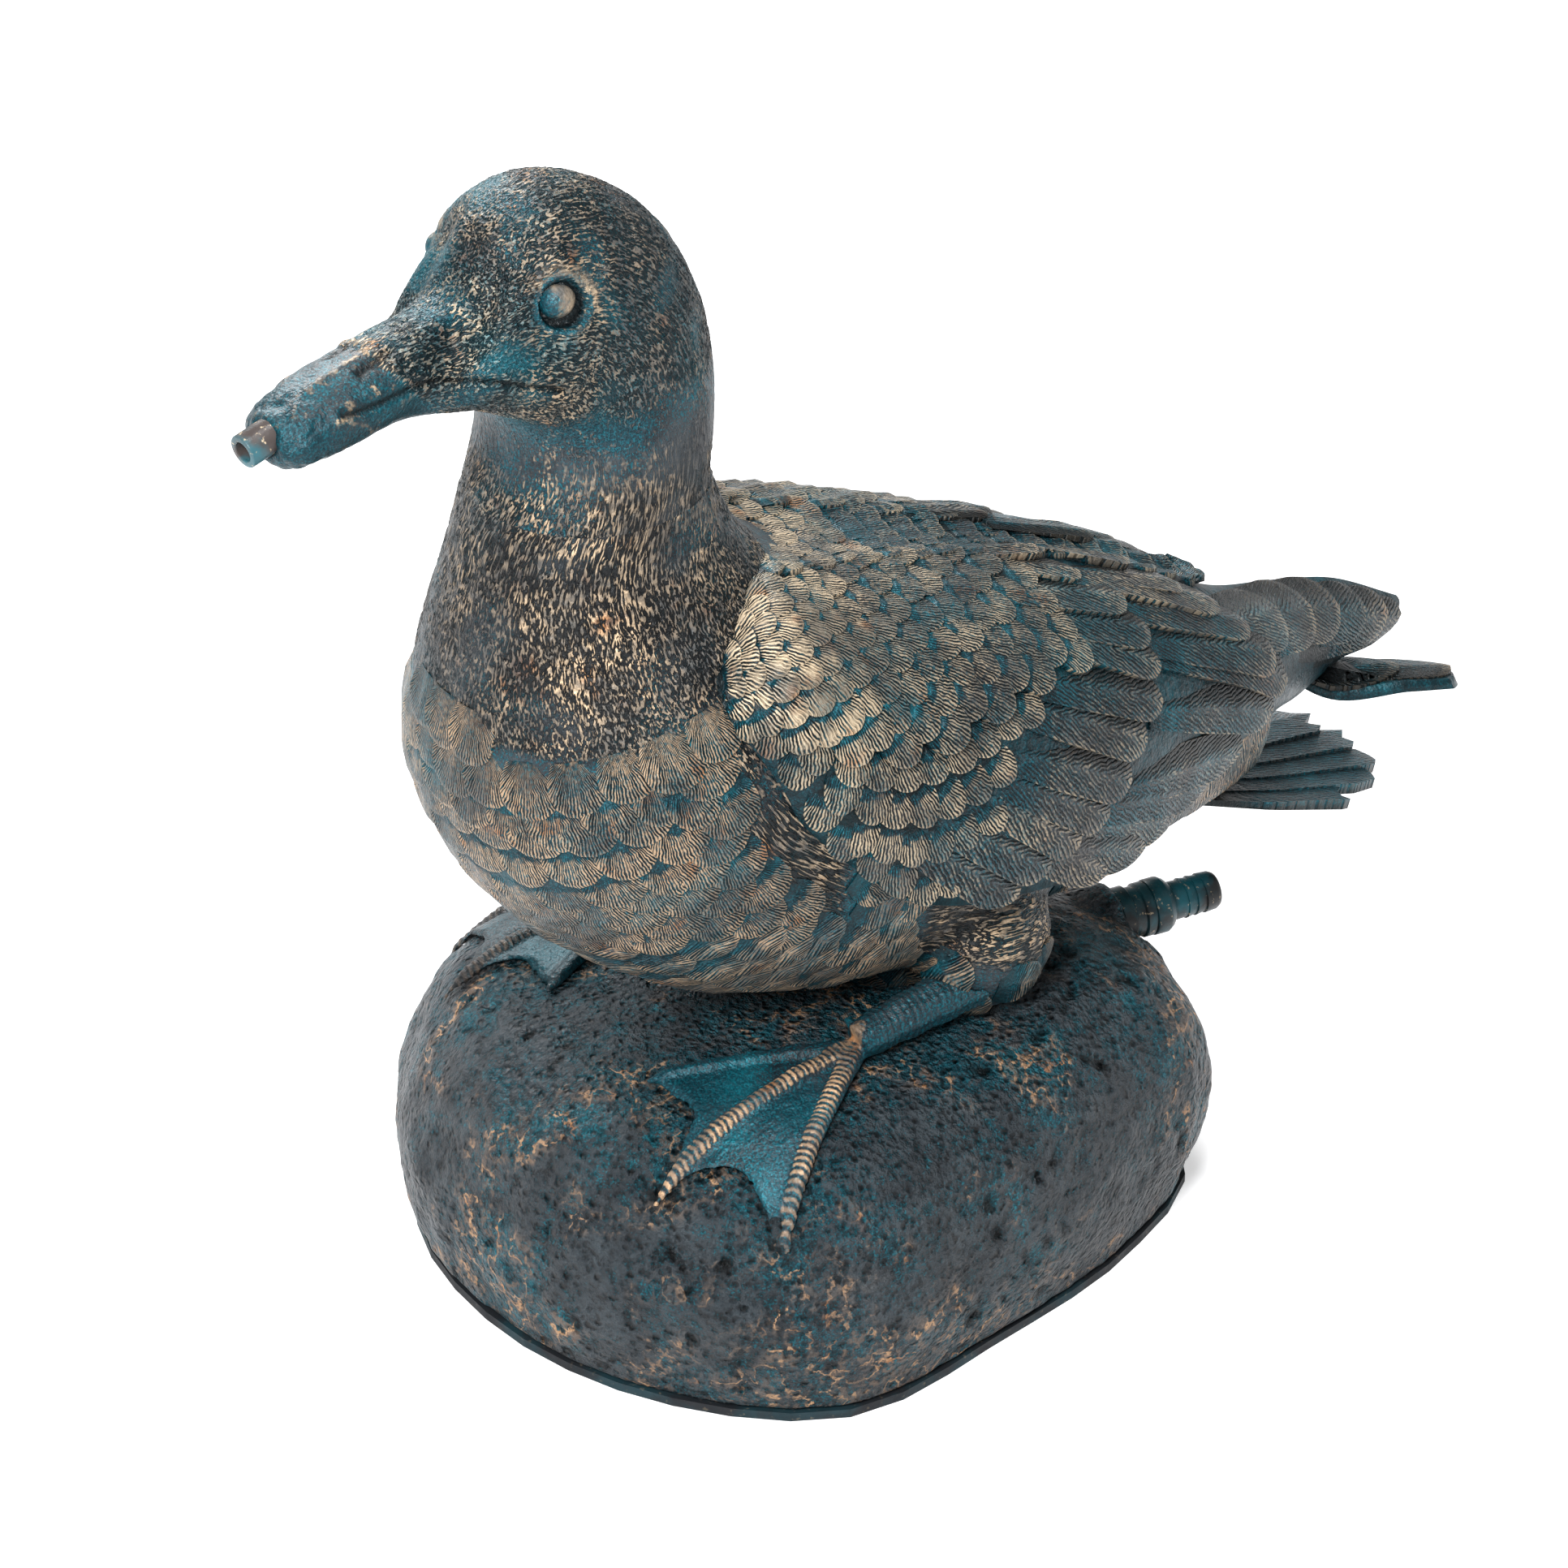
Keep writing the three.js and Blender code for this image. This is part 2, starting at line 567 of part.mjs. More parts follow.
// Boulder, plate and screws
const screwPlaces = screwSpots.map(([x, y]) => [x * wide, y, 0])
const screwHole = cylinder(screwRadius + seatGap, 0, screwLength + screwRoom)
const screwHoles = screwPlaces.map((place) => screwHole.translate(place))
const shankHole = moved(cylinder(shankRadius + seatGap, -tailWall - 1, bossCut), tailMatrix)
const rockCuts = joined([channel, pocket, ...studHoles, ...nutPockets, ...screwHoles, shankHole])
const flangeFace = moved(cylinder(tailBoss, 0, bossCut), tailMatrix)
const flangeBoss = moved(cylinder(tailBoss, -tailWall, 0), tailMatrix)
const boulder = rockBody.subtract(flangeFace).add(flangeBoss)
add('rock_casting', mainBody(boulder.subtract(rockCuts)), stone)

function plateOutline() {
  const foot = rockLevels[0][1]
  const corners = footOutline(plateLip).map((p) => new THREE.Vector2(p.x * foot, p.y * foot))
  const shape = new THREE.Shape(corners)
  return new THREE.ExtrudeGeometry(shape, { depth: plateThickness, bevelEnabled: false })
}

const headEdge = screwSunk + screwRim
const coneTop = headEdge + screwHead - screwRadius
const coneGap = seatGap * (Math.SQRT2 - 1) // leaves the seat gap square to the cone
const [headHole, shaftHole] = [screwHead + seatGap, screwRadius + seatGap]
const sunkHead = solid(lathe([
  [0, -seatGap], [headHole, -seatGap], [headHole, headEdge + coneGap], [shaftHole, coneTop + coneGap],
  [shaftHole, plateThickness + 1], [0, plateThickness + 1],
], 14))
const plateHoles = screwPlaces.map((place) => sunkHead.translate(place))
add('base_plate', solid(plateOutline()).subtract(joined(plateHoles)), blackPlastic)

const screwProfile = [
  [0, screwSunk], [screwHead, screwSunk], [screwHead, headEdge], [screwRadius, coneTop],
  [screwRadius, screwLength], [0, screwLength + screwPoint],
]
const screw = solid(lathe(screwProfile, 16))
screwPlaces.forEach((place, i) =>
  add(`base_screw_${i + 1}`, screw, steel, new THREE.Matrix4().makeTranslation(...place)))

// Studs, washers and nuts that hold the body down
for (const side of [1, -1]) {
  const name = side > 0 ? 'left' : 'right'
  const at = new THREE.Matrix4().makeTranslation(side * studX, boss.y, 0)
  const hole = studRadius + seatGap
  const washerFrom = nutFloor - seatGap - washerThickness
  const nutFrom = washerFrom - seatGap - nutThickness
  add(`${name}_stud`, cylinder(studRadius, nutFrom - studTail, above(studTop), 16), steel, at)
  add(`${name}_washer`, ringSolid(washerRadius, hole, washerFrom, washerThickness, 24), steel, at)
  add(`${name}_nut`, nut(nutRadius, hole, nutFrom, nutThickness), steel, at)
}

// Webbed feet: two of the three front toes carry the web's edges, the third runs down its middle
const onRock = ([x, y]) => [x * wide, y]
const [ankleSpot, hindSpot] = [ankle, hindToe].map(onRock)
const toeSpots = toes.map(onRock)
const toePoint = (root, tip, t) => vec(mix(root[0], tip[0], t), mix(root[1], tip[1], t), 0)

function toe(root, tip, side, radius, tipRadius, lift) {
  const steps = 10
  const rings = Array.from({ length: steps + 1 }, (_, i) => {
    const t = i / steps
    const centre = toePoint(root, tip, t)
    centre.x *= side
    const size = mix(radius, tipRadius, t) * (i % 2 ? 1.08 : 0.94) * (i === steps ? 0.35 : 1)
    centre.z = rockHeight(centre.x, centre.y) + lift + size * 0.3
    const along = vec(side * (tip[0] - root[0]), tip[1] - root[1], 0).normalize()
    const across = along.clone().cross(vec(0, 0, 1))
    return Array.from({ length: 6 }, (_, j) => {
      const a = (fullTurn * j) / 6
      return centre.clone().addScaledVector(across, size * Math.cos(a)).add(vec(0, 0, size * Math.sin(a)))
    })
  })
  return solid(skin(rings))
}

function web(side) {
  const [along, across] = [6, 10]
  const [inner, middle, outer] = toeSpots
  const [start, end, dip] = webReach
  const grid = (down) => Array.from({ length: along + 1 }, (_, i) =>
    Array.from({ length: across + 1 }, (_, j) => {
      const k = (2 * j) / across
      const [a, b] = k < 1 ? [inner, middle] : [middle, outer]
      const s = k < 1 ? k : k - 1
      const t = mix(start, end - dip * Math.sin(Math.PI * s), i / along)
      const p = toePoint(ankleSpot, a, t).lerp(toePoint(ankleSpot, b, t), s)
      p.x *= side
      return p.setZ(rockHeight(p.x, p.y) + (down ? -webSink : webThickness))
    }))
  const [top, bottom] = [grid(false), grid(true)]
  return solid(skin(top.map((row, i) => [...row, ...bottom[i].reverse()])))
}

function foot(side) {
  const [ankleX, ankleY] = ankleSpot
  const start = vec(side * ankleX, ankleY, 0)
  start.z = rockHeight(start.x, start.y) + legRadius * 0.7
  const heel = vec(side * (ankleX + legSplay), ankleY + legLength, start.z + legRise)
  const legSteps = 8
  const along = heel.clone().sub(start)
  const legFrame = axisMatrix(start, along)
  const leg = Array.from({ length: legSteps + 1 }, (_, i) => {
    const t = i / legSteps
    const size = mix(legRadius * 0.85, legRadius * 1.15, t) * (i % 2 ? 1.05 : 0.97)
    return Array.from({ length: 8 }, (_, j) => {
      const a = (fullTurn * j) / 8
      return vec(size * Math.cos(a), size * Math.sin(a), along.length() * t).applyMatrix4(legFrame)
    })
  })
  const hindRoot = [ankleX + hindToeRoot[0], ankleY + hindToeRoot[1]]
  const blank = joined([
    web(side), solid(skin(leg)),
    ...toeSpots.map((tip) => toe(ankleSpot, tip, side, toeRadius, toeRadius * 0.6, toeLift)),
    toe(hindRoot, hindSpot, side, toeRadius * 0.7, toeRadius * 0.4, hindToeLift),
  ])
  return mainBody(blank.subtract(joined([rockCutter, torsoCutter])))
}

add('left_foot', foot(1), feetPaint)
add('right_foot', foot(-1), feetPaint)

// Fittings of the water line
function ringSolid(outer, inner, from, height, segments) {
  const to = from + height
  return solid(lathe([[inner, from], [outer, from], [outer, to], [inner, to], [inner, from]], segments))
}

const spoutLength = spoutInside + spoutReach
const spoutTube = ringSolid(spoutOuter / 2, spoutBore / 2, -spoutInside, spoutLength, 24)
add('spout_tube', moved(spoutTube, spoutMatrix), greyPlastic)

// The connector's rings, from the hose outwards: [place, radius]
const barbRadius = hoseBore / 2 - seatGap
const barbEnd = -shankEnd - barbLength
const connectorProfile = [
  [barbEnd, shankBore], [barbEnd, barbRadius - barbStep], [-shankEnd, barbRadius],
  [-shankEnd, shankRadius], [seatGap, shankRadius], [seatGap, 10.5],
  [5.2, 10.5], [5.9, 9.4], [9.2, 9.3], [9.8, 10],
  [13, 10.1], [13.2, 9.6], [13.6, 10.4], [19.2, 10.4], [20.6, 9.4], [22.4, 7.2], [27.2, 7], [27.4, 7.5],
  [31, 6.8], [31.1, 7.4], [34.8, 6.8], [34.9, 7.4], [39.4, 7.1], [tailLength, 6], [tailLength, shankBore],
]
const connector = solid(lathe([...connectorProfile, connectorProfile[0]].map(([s, r]) => [r, s]), 24))
add('hose_connector', moved(connector, tailMatrix), blackPlastic)

const gasketEnd = tailWall + gasketThickness + seatGap
const shankFit = shankRadius + seatGap
const gasket = ringSolid(shankFit + gasketWidth, shankFit, -gasketEnd, gasketThickness, 20)
add('connector_gasket', moved(gasket, tailMatrix), blackRubber)
const locknutFrom = -gasketEnd - seatGap - locknutThickness
const locknut = nut(locknutRadius, shankFit, locknutFrom, locknutThickness)
add('connector_locknut', moved(locknut, tailMatrix), blackPlastic)

const hoseEnd = hoseGrip - spoutInside
const mouth = (from) => cylinder(hoseBore / 2 + mouthExtra, from, from + mouthDepth + 1, 2 * hoseSides)
const bore = joined([
  solid(tube(hoseRoute, hoseBore / 2, hoseSteps, hoseSides)),
  moved(mouth(-hoseStart - mouthDepth), tailMatrix),
  moved(mouth(hoseEnd - mouthDepth), spoutMatrix),
])
const hose = solid(tube(hoseRoute, hoseOuter / 2, hoseSteps, hoseSides)).subtract(bore)
add('inner_hose', mainBody(hose), clearVinyl)

const clipPlace = -hoseStart - clipInset - clipWidth
const clipBore = hoseOuter / 2 + seatGap
const clipRing = ringSolid(clipBore + clipBand, clipBore, clipPlace, clipWidth, 20)
const housingY = -clipBore - clipHousing[1] / 2 - clipOverlap
const housing = new THREE.BoxGeometry(...clipHousing).translate(0, housingY, clipPlace + clipWidth / 2)
add('hose_clip', moved(clipRing.add(solid(housing)), tailMatrix), steel)

export default parts
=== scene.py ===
import math
import random

import bmesh
import bpy
import numpy as np
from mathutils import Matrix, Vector, noise
from mathutils.bvhtree import BVHTree


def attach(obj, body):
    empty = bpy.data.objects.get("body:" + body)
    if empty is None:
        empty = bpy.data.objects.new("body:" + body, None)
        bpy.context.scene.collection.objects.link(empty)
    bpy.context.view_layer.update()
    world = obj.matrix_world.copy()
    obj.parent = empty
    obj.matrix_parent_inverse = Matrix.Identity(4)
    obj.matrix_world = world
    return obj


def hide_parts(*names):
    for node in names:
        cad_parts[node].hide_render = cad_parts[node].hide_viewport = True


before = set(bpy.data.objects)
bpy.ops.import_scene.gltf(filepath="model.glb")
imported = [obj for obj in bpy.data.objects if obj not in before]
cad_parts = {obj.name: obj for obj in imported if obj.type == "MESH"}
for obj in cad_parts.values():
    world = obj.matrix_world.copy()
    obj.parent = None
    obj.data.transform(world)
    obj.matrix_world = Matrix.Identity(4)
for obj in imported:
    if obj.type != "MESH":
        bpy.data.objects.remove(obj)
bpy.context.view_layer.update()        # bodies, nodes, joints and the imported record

mm = 0.001

# Camera, floor and lights

view = {
    "azimuth": 56, "elevation": 32, "distance": 1.8, "target": (0, -0.010, 0.175),
    "focal": 6480, "frame": 1932, "sensor": 36,        # focal length and frame in pixels
}


def towards(azimuth, elevation):
    a, e = math.radians(azimuth), math.radians(elevation)
    return Vector((math.sin(a) * math.cos(e), -math.cos(a) * math.cos(e), math.sin(e)))


def linked(name, data):
    made = bpy.data.objects.new(name, data)
    bpy.context.scene.collection.objects.link(made)
    return made


def makeCamera():
    data = bpy.data.cameras.new("camera")
    data.sensor_width = view["sensor"]
    data.lens = view["sensor"] * view["focal"] / view["frame"]
    camera = linked("camera", data)
    back = towards(view["azimuth"], view["elevation"])
    camera.location = Vector(view["target"]) + back * view["distance"]
    camera.rotation_euler = back.to_track_quat("Z", "Y").to_euler()
    bpy.context.scene.camera = camera


# Shader nodes

def put(tree, kind, inputs=(), **settings):
    node = tree.nodes.new("ShaderNode" + kind)
    for key, value in settings.items():
        setattr(node, key, value)
    for key, value in dict(inputs).items():
        if isinstance(value, bpy.types.NodeSocket):
            tree.links.new(value, node.inputs[key])
        else:
            node.inputs[key].default_value = value
    return node


def calc(tree, operation, *values, clamp=False):
    return put(tree, "Math", enumerate(values), operation=operation, use_clamp=clamp).outputs[0]


def times(tree, a, b, clamp=False):
    return calc(tree, "MULTIPLY", a, b, clamp=clamp)


def plus(tree, a, b, clamp=False):
    return calc(tree, "ADD", a, b, clamp=clamp)


# a times b plus c
def scaled(tree, a, b, c, clamp=False):
    return calc(tree, "MULTIPLY_ADD", a, b, c, clamp=clamp)


def larger(tree, a, b):
    return calc(tree, "MAXIMUM", a, b)


def inverse(tree, value, clamp=False):
    return calc(tree, "SUBTRACT", 1.0, value, clamp=clamp)


def between(tree, value, low, high, first=0.0, last=1.0):
    inputs = {"Value": value, "From Min": low, "From Max": high, "To Min": first, "To Max": last}
    return put(tree, "MapRange", inputs, interpolation_type="SMOOTHSTEP").outputs[0]


def tinted(tree, factor, first, second):
    return put(tree, "Mix", {0: factor, 6: first, 7: second}, data_type="RGBA").outputs[2]


def grain(tree, place, scale, detail=2.0, distortion=0.0):
    inputs = {"Vector": place, "Scale": scale, "Detail": detail, "Distortion": distortion}
    return put(tree, "TexNoise", inputs).outputs["Fac"]


def group(name, inputs, outputs):
    tree = bpy.data.node_groups.new(name, "ShaderNodeTree")
    for label, kind in inputs.items():
        tree.interface.new_socket(label, in_out="INPUT", socket_type="NodeSocket" + kind)
    for label, kind in outputs.items():
        tree.interface.new_socket(label, in_out="OUTPUT", socket_type="NodeSocket" + kind)
    given = tree.nodes.new("NodeGroupInput").outputs
    made = tree.nodes.new("NodeGroupOutput").inputs
    return tree, given, made


def placed(tree, made, inputs):
    return put(tree, "Group", inputs, node_tree=made).outputs


def material(name, metallic=0.0, roughness=0.5, **fixed):
    made = bpy.data.materials.new(name)
    made.use_nodes = True
    tree = made.node_tree
    shader = tree.nodes["Principled BSDF"]
    shader.inputs["Metallic"].default_value = metallic
    shader.inputs["Roughness"].default_value = roughness
    shader.inputs["Specular IOR Level"].default_value = 0.3
    for key, value in fixed.items():
        shader.inputs[key].default_value = value
    return made, tree, shader


def bumped(tree, shader, height, depth):
    bump = put(tree, "Bump", {"Height": height, "Distance": depth})
    tree.links.new(bump.outputs[0], shader.inputs["Normal"])


def field(tree, name, kind="Fac"):
    return put(tree, "Attribute", attribute_name=name).outputs[kind]


# The paint: charcoal ground, teal sprayed in clouds, gold brushed over what stands out

paint = {
    "charcoal": (0.009, 0.012, 0.016, 1), "slate": (0.046, 0.060, 0.070, 1),
    "teal": (0.002, 0.036, 0.052, 1), "brightTeal": (0.005, 0.18, 0.235, 1),
    "gold": (0.66, 0.52, 0.35, 1), "copper": (0.50, 0.23, 0.09, 1),
    # how fine each pattern of the paint is
    "smoke": 60, "cloud": 26, "flake": 1250, "patch": 42, "brush": 55, "wear": 700, "warmth": 80, "sheen": 90,
    "cover": 0.85, "smoothest": 0.26, "rougher": 0.3, "dullest": 0.1, "shinier": 0.2,
}


# Relief is 1 on what stands out; the second input is painted shade, 0 in the deepest corners and 1 where none
# is painted; Teal is the share that the spray covers
def makePatina():
    inputs = {label: "Float" for label in ("Relief", "ShadePaint", "Gilt", "Teal", "Warm")}
    tree, given, made = group("patina", {"Place": "Vector", **inputs},
                              {"Colour": "Color", "Roughness": "Float", "Metallic": "Float"})
    relief = given["Relief"]

    def pattern(name, detail, distortion=0.0):
        return grain(tree, given["Place"], paint[name], detail, distortion)

    smoke = between(tree, pattern("smoke", 5), 0.38, 0.66)
    pale = scaled(tree, relief, 0.5, times(tree, smoke, 0.5), clamp=True)
    ground = tinted(tree, pale, paint["charcoal"], paint["slate"])
    cloud = scaled(tree, pattern("cloud", 6, 0.4), 1.5, -0.25)
    flake = between(tree, pattern("flake", 2), 0.46, 0.66)
    low = scaled(tree, relief, -0.45, scaled(tree, flake, 0.3, given["Teal"]))
    spray = between(tree, plus(tree, low, cloud), 0.55, 1.05)
    patch = between(tree, pattern("patch", 4), 0.45, 0.75)
    bright = scaled(tree, flake, 0.5, times(tree, patch, 0.45), clamp=True)
    tealTone = tinted(tree, bright, paint["teal"], paint["brightTeal"])
    sprayed = tinted(tree, times(tree, spray, paint["cover"]), ground, tealTone)
    brush = times(tree, given["Gilt"], between(tree, pattern("brush", 4), 0.38, 0.6, 0.3, 1.0))
    wear = scaled(tree, pattern("wear", 3), 0.8, -0.4)
    brushed = times(tree, between(tree, plus(tree, relief, wear), 0.5, 0.85), brush, clamp=True)
    warm = plus(tree, between(tree, pattern("warmth", 3), 0.56, 0.76), given["Warm"], clamp=True)
    finished = tinted(tree, brushed, sprayed, tinted(tree, warm, paint["gold"], paint["copper"]))
    # painted shade: the colour is darkened by the second input, down to a twentieth in the deepest corners
    deep = between(tree, given["ShadePaint"], 0.0, 0.8, 0.05, 1.0)
    shaded = put(tree, "VectorMath", {0: finished, "Scale": deep}, operation="SCALE").outputs[0]
    tree.links.new(shaded, made["Colour"])
    rough = scaled(tree, pattern("sheen", 3), paint["rougher"], paint["smoothest"])
    tree.links.new(scaled(tree, brushed, 0.04, rough), made["Roughness"])
    shine = scaled(tree, spray, paint["shinier"], paint["dullest"])
    tree.links.new(scaled(tree, brushed, paint["shinier"], shine), made["Metallic"])
    return tree


strokeLook = {"wander": 150, "bend": 0.0035, "gap": 0.45, "hair": 0.58}


# Short strokes that follow the plumage: high on each hair, low between them
def makeStrokes():
    tree, given, made = group("strokes", {"Flow": "Vector", "Across": "Float", "Along": "Float"},
                              {"Ridge": "Float"})
    flow, look = given["Flow"], strokeLook
    wander = put(tree, "TexNoise", {"Vector": flow, "Scale": look["wander"], "Detail": 2}).outputs["Color"]
    bend = put(tree, "VectorMath", {0: wander, 1: (look["bend"],) * 3}, operation="MULTIPLY").outputs[0]
    moved = put(tree, "VectorMath", {0: flow, 1: bend}, operation="ADD").outputs[0]
    apart = put(tree, "SeparateXYZ", {0: moved}).outputs
    scales = (given["Across"], given["Across"], given["Along"])
    stretched = {k: times(tree, apart[k], scale) for k, scale in enumerate(scales)}
    joined = put(tree, "CombineXYZ", stretched).outputs[0]
    tree.links.new(between(tree, grain(tree, joined, 1, 1.5), look["gap"], look["hair"]), made["Ridge"])
    return tree


barbLook = {
    "wander": 240, "bend": 0.0018, "broken": 160, "wave": 0.5, "uneven": 1.8, "gap": -0.6, "rib": 0.25,
}


# Barbs of a feather: ribs across the first coordinate of its UV map, in metres, broken along the second
def makeBarbs():
    tree, given, made = group("barbs", {"Feather": "Vector", "Pitch": "Float"}, {"Ridge": "Float"})
    look = barbLook
    apart = put(tree, "SeparateXYZ", {0: given["Feather"]}).outputs
    wander = grain(tree, given["Feather"], look["wander"], 2)
    count = calc(tree, "DIVIDE", plus(tree, apart[0], times(tree, wander, look["bend"])), given["Pitch"])
    wave = calc(tree, "SINE", times(tree, count, math.tau))
    cell = put(tree, "CombineXYZ", {0: count, 1: times(tree, apart[1], look["broken"])}).outputs[0]
    uneven = scaled(tree, grain(tree, cell, 0.9, 1), look["uneven"], -look["uneven"] / 2)
    ridge = between(tree, scaled(tree, wave, look["wave"], uneven), look["gap"], look["rib"])
    tree.links.new(ridge, made["Ridge"])
    return tree


patina = makePatina()
strokes = makeStrokes()
barbs = makeBarbs()


# the argument after relief is painted shade, which darkens the colour
def painted(tree, shader, place, relief, shadowing, gilt, teal, warm=0.0):
    inputs = {"Place": place, "Relief": relief, "ShadePaint": shadowing, "Gilt": gilt, "Teal": teal, "Warm": warm}
    coat = placed(tree, patina, inputs)
    for made, used in (("Colour", "Base Color"), ("Roughness", "Roughness"), ("Metallic", "Metallic")):
        tree.links.new(coat[made], shader.inputs[used])


# Head and neck: strokes of hair, and crumbs where the casting is bare
def makeFurPaint(name, across, along, depth, teal, warm=0.2):
    made, tree, shader = material(name)
    place = put(tree, "TexCoord").outputs["Object"]
    inputs = {"Flow": field(tree, "flow", "Vector"), "Across": across, "Along": along}
    fur = field(tree, "fur")
    hair = times(tree, placed(tree, strokes, inputs)["Ridge"], fur)
    gilt = times(tree, field(tree, "gilt"), between(tree, grain(tree, place, 300, 3), 0.35, 0.65, 0.3, 1.0))
    crumbs = scaled(tree, grain(tree, place, 420, 5), 1.6, -0.55)
    bare = times(tree, crumbs, inverse(tree, fur))
    relief = plus(tree, scaled(tree, hair, 0.95, bare), field(tree, "raised"), clamp=True)
    # painted shade between the hair strokes, times the painted shade stored on the mesh
    strokeShadow = inverse(tree, times(tree, calc(tree, "SUBTRACT", fur, hair), 0.85), clamp=True)
    shadowing = times(tree, strokeShadow, field(tree, "deep"))
    painted(tree, shader, place, relief, shadowing, gilt, plus(tree, field(tree, "spray"), teal), warm)
    bumped(tree, shader, plus(tree, hair, times(tree, grain(tree, place, 700, 5), 0.5)), depth)
    return made


bladeFields = ("tone", "seen", "deep", "rim", "quill")


# The field seen is 0 where the feather in front ends and 1 at the tip. Gutter is how much of the gold stays
# off the root, and the argument after it how dark the shade painted between the barbs is
def makeBladePaint(name, pitch, gold, teal, depth, gutter=0.8, barbShadowDepth=0.92, warm=0.0):
    made, tree, shader = material(name)
    place = put(tree, "TexCoord").outputs["Object"]
    feather = put(tree, "UVMap", uv_map="feather").outputs["UV"]
    tone, seen, deep, rim, quill = [field(tree, label) for label in bladeFields]
    ribs = placed(tree, barbs, {"Feather": feather, "Pitch": pitch})["Ridge"]
    ragged = scaled(tree, grain(tree, place, 300, 3), 0.5, calc(tree, "SUBTRACT", seen, 0.25))
    zone = between(tree, ragged, -0.12, 0.16)
    outer = between(tree, ragged, 0.02, 0.3, 1 - gutter, 1.0)
    ridge = times(tree, larger(tree, ribs, times(tree, quill, 0.9)), zone)
    worn = times(tree, larger(tree, calc(tree, "SUBTRACT", tone, 0.65), 0.0), between(tree, seen, 0.25, 0.7))
    barb = times(tree, ridge, times(tree, outer, scaled(tree, tone, 0.45, 0.5)))
    relief = plus(tree, barb, scaled(tree, rim, 0.4, times(tree, worn, 1.5)), clamp=True)
    filled = larger(tree, larger(tree, ribs, rim), times(tree, worn, 1.6))
    # painted shade between the barbs, times the painted shade stored on the mesh
    barbShadow = times(tree, inverse(tree, filled, clamp=True), times(tree, zone, barbShadowDepth))
    shadowing = times(tree, deep, inverse(tree, barbShadow))
    cover = scaled(tree, outer, -0.45, teal + 0.45)
    painted(tree, shader, place, relief, shadowing, scaled(tree, tone, 0.6, gold, clamp=True), cover, warm)
    bumped(tree, shader, scaled(tree, grain(tree, place, 900, 3), 0.35, ridge), depth)
    return made


stoneLook = {
    "pits": 260, "crumbs": 380, "crumbHeight": 3.0, "crumbLevel": -1.04, "clusters": 24, "veins": 85,
    "veinHalf": 0.028, "mottle": 130, "warm": 0.65, "depth": 0.006,
}


# Boulder: crumbs and pits, copper veins in clusters
def makeStonePaint():
    look = stoneLook
    made, tree, shader = material("stonePaint")
    place = put(tree, "TexCoord").outputs["Object"]
    pit = put(tree, "TexVoronoi", {"Vector": place, "Scale": look["pits"]}).outputs["Distance"]
    hollow = between(tree, pit, 0.0, 0.4)
    crumbs = grain(tree, place, look["crumbs"], 6)
    rough = scaled(tree, crumbs, look["crumbHeight"], look["crumbLevel"])
    cluster = between(tree, grain(tree, place, look["clusters"], 4, 0.7), 0.45, 0.6)
    wiggle = calc(tree, "SUBTRACT", grain(tree, place, look["veins"], 6, 0.3), 0.5)
    line = between(tree, calc(tree, "ABSOLUTE", wiggle), 0.0, look["veinHalf"], 1.0, 0.0)
    vein = times(tree, line, cluster)
    cast = plus(tree, rough, field(tree, "raised"), clamp=True)
    relief = plus(tree, cast, times(tree, vein, 0.5), clamp=True)
    # painted shade in the pits and among the low crumbs
    pitShadow = times(tree, scaled(tree, hollow, 0.7, 0.3), between(tree, crumbs, 0.38, 0.5, 0.35, 1.0))
    shadowing = times(tree, field(tree, "deep"), pitShadow)
    gilt = scaled(tree, vein, 0.8, times(tree, cluster, 0.2))
    teal = plus(tree, scaled(tree, grain(tree, place, look["mottle"], 5), 1.2, -0.6), field(tree, "spray"))
    painted(tree, shader, place, relief, shadowing, gilt, teal, look["warm"])
    bumped(tree, shader, plus(tree, times(tree, hollow, 0.5), crumbs), look["depth"])
    return made


def makeFootPaint(teal, warm, depth):
    made, tree, shader = material("footPaint")
    place = put(tree, "TexCoord").outputs["Object"]
    painted(tree, shader, place, field(tree, "raised"), field(tree, "deep"), field(tree, "gilt"), teal, warm)
    bumped(tree, shader, grain(tree, place, 500, 5), depth)
    return made


# Plain mouldings and metal, with a light overspray of the paint
def makeFitting(name, colour, roughness, metallic=0.0, overspray=0.0, speckle=0.0, **fixed):
    made, tree, shader = material(name, metallic, roughness, **fixed)
    place = put(tree, "TexCoord").outputs["Object"]
    cloud = times(tree, between(tree, grain(tree, place, 55, 4, 0.4), 0.42, 0.66), overspray)
    dust = times(tree, between(tree, grain(tree, place, 520, 3), 0.62, 0.72), speckle)
    sprayed = tinted(tree, cloud, (*colour, 1), paint["brightTeal"])
    tree.links.new(tinted(tree, dust, sprayed, paint["gold"]), shader.inputs["Base Color"])
    worn = between(tree, grain(tree, place, 140, 4), 0.3, 0.7, roughness - 0.06, roughness + 0.1)
    tree.links.new(worn, shader.inputs["Roughness"])
    bumped(tree, shader, grain(tree, place, 900, 2), 0.00008)
    return made


ground = {"half": 1.9, "colour": (0.74, 0.74, 0.75, 1), "glow": 0.5, "roughness": 0.9}


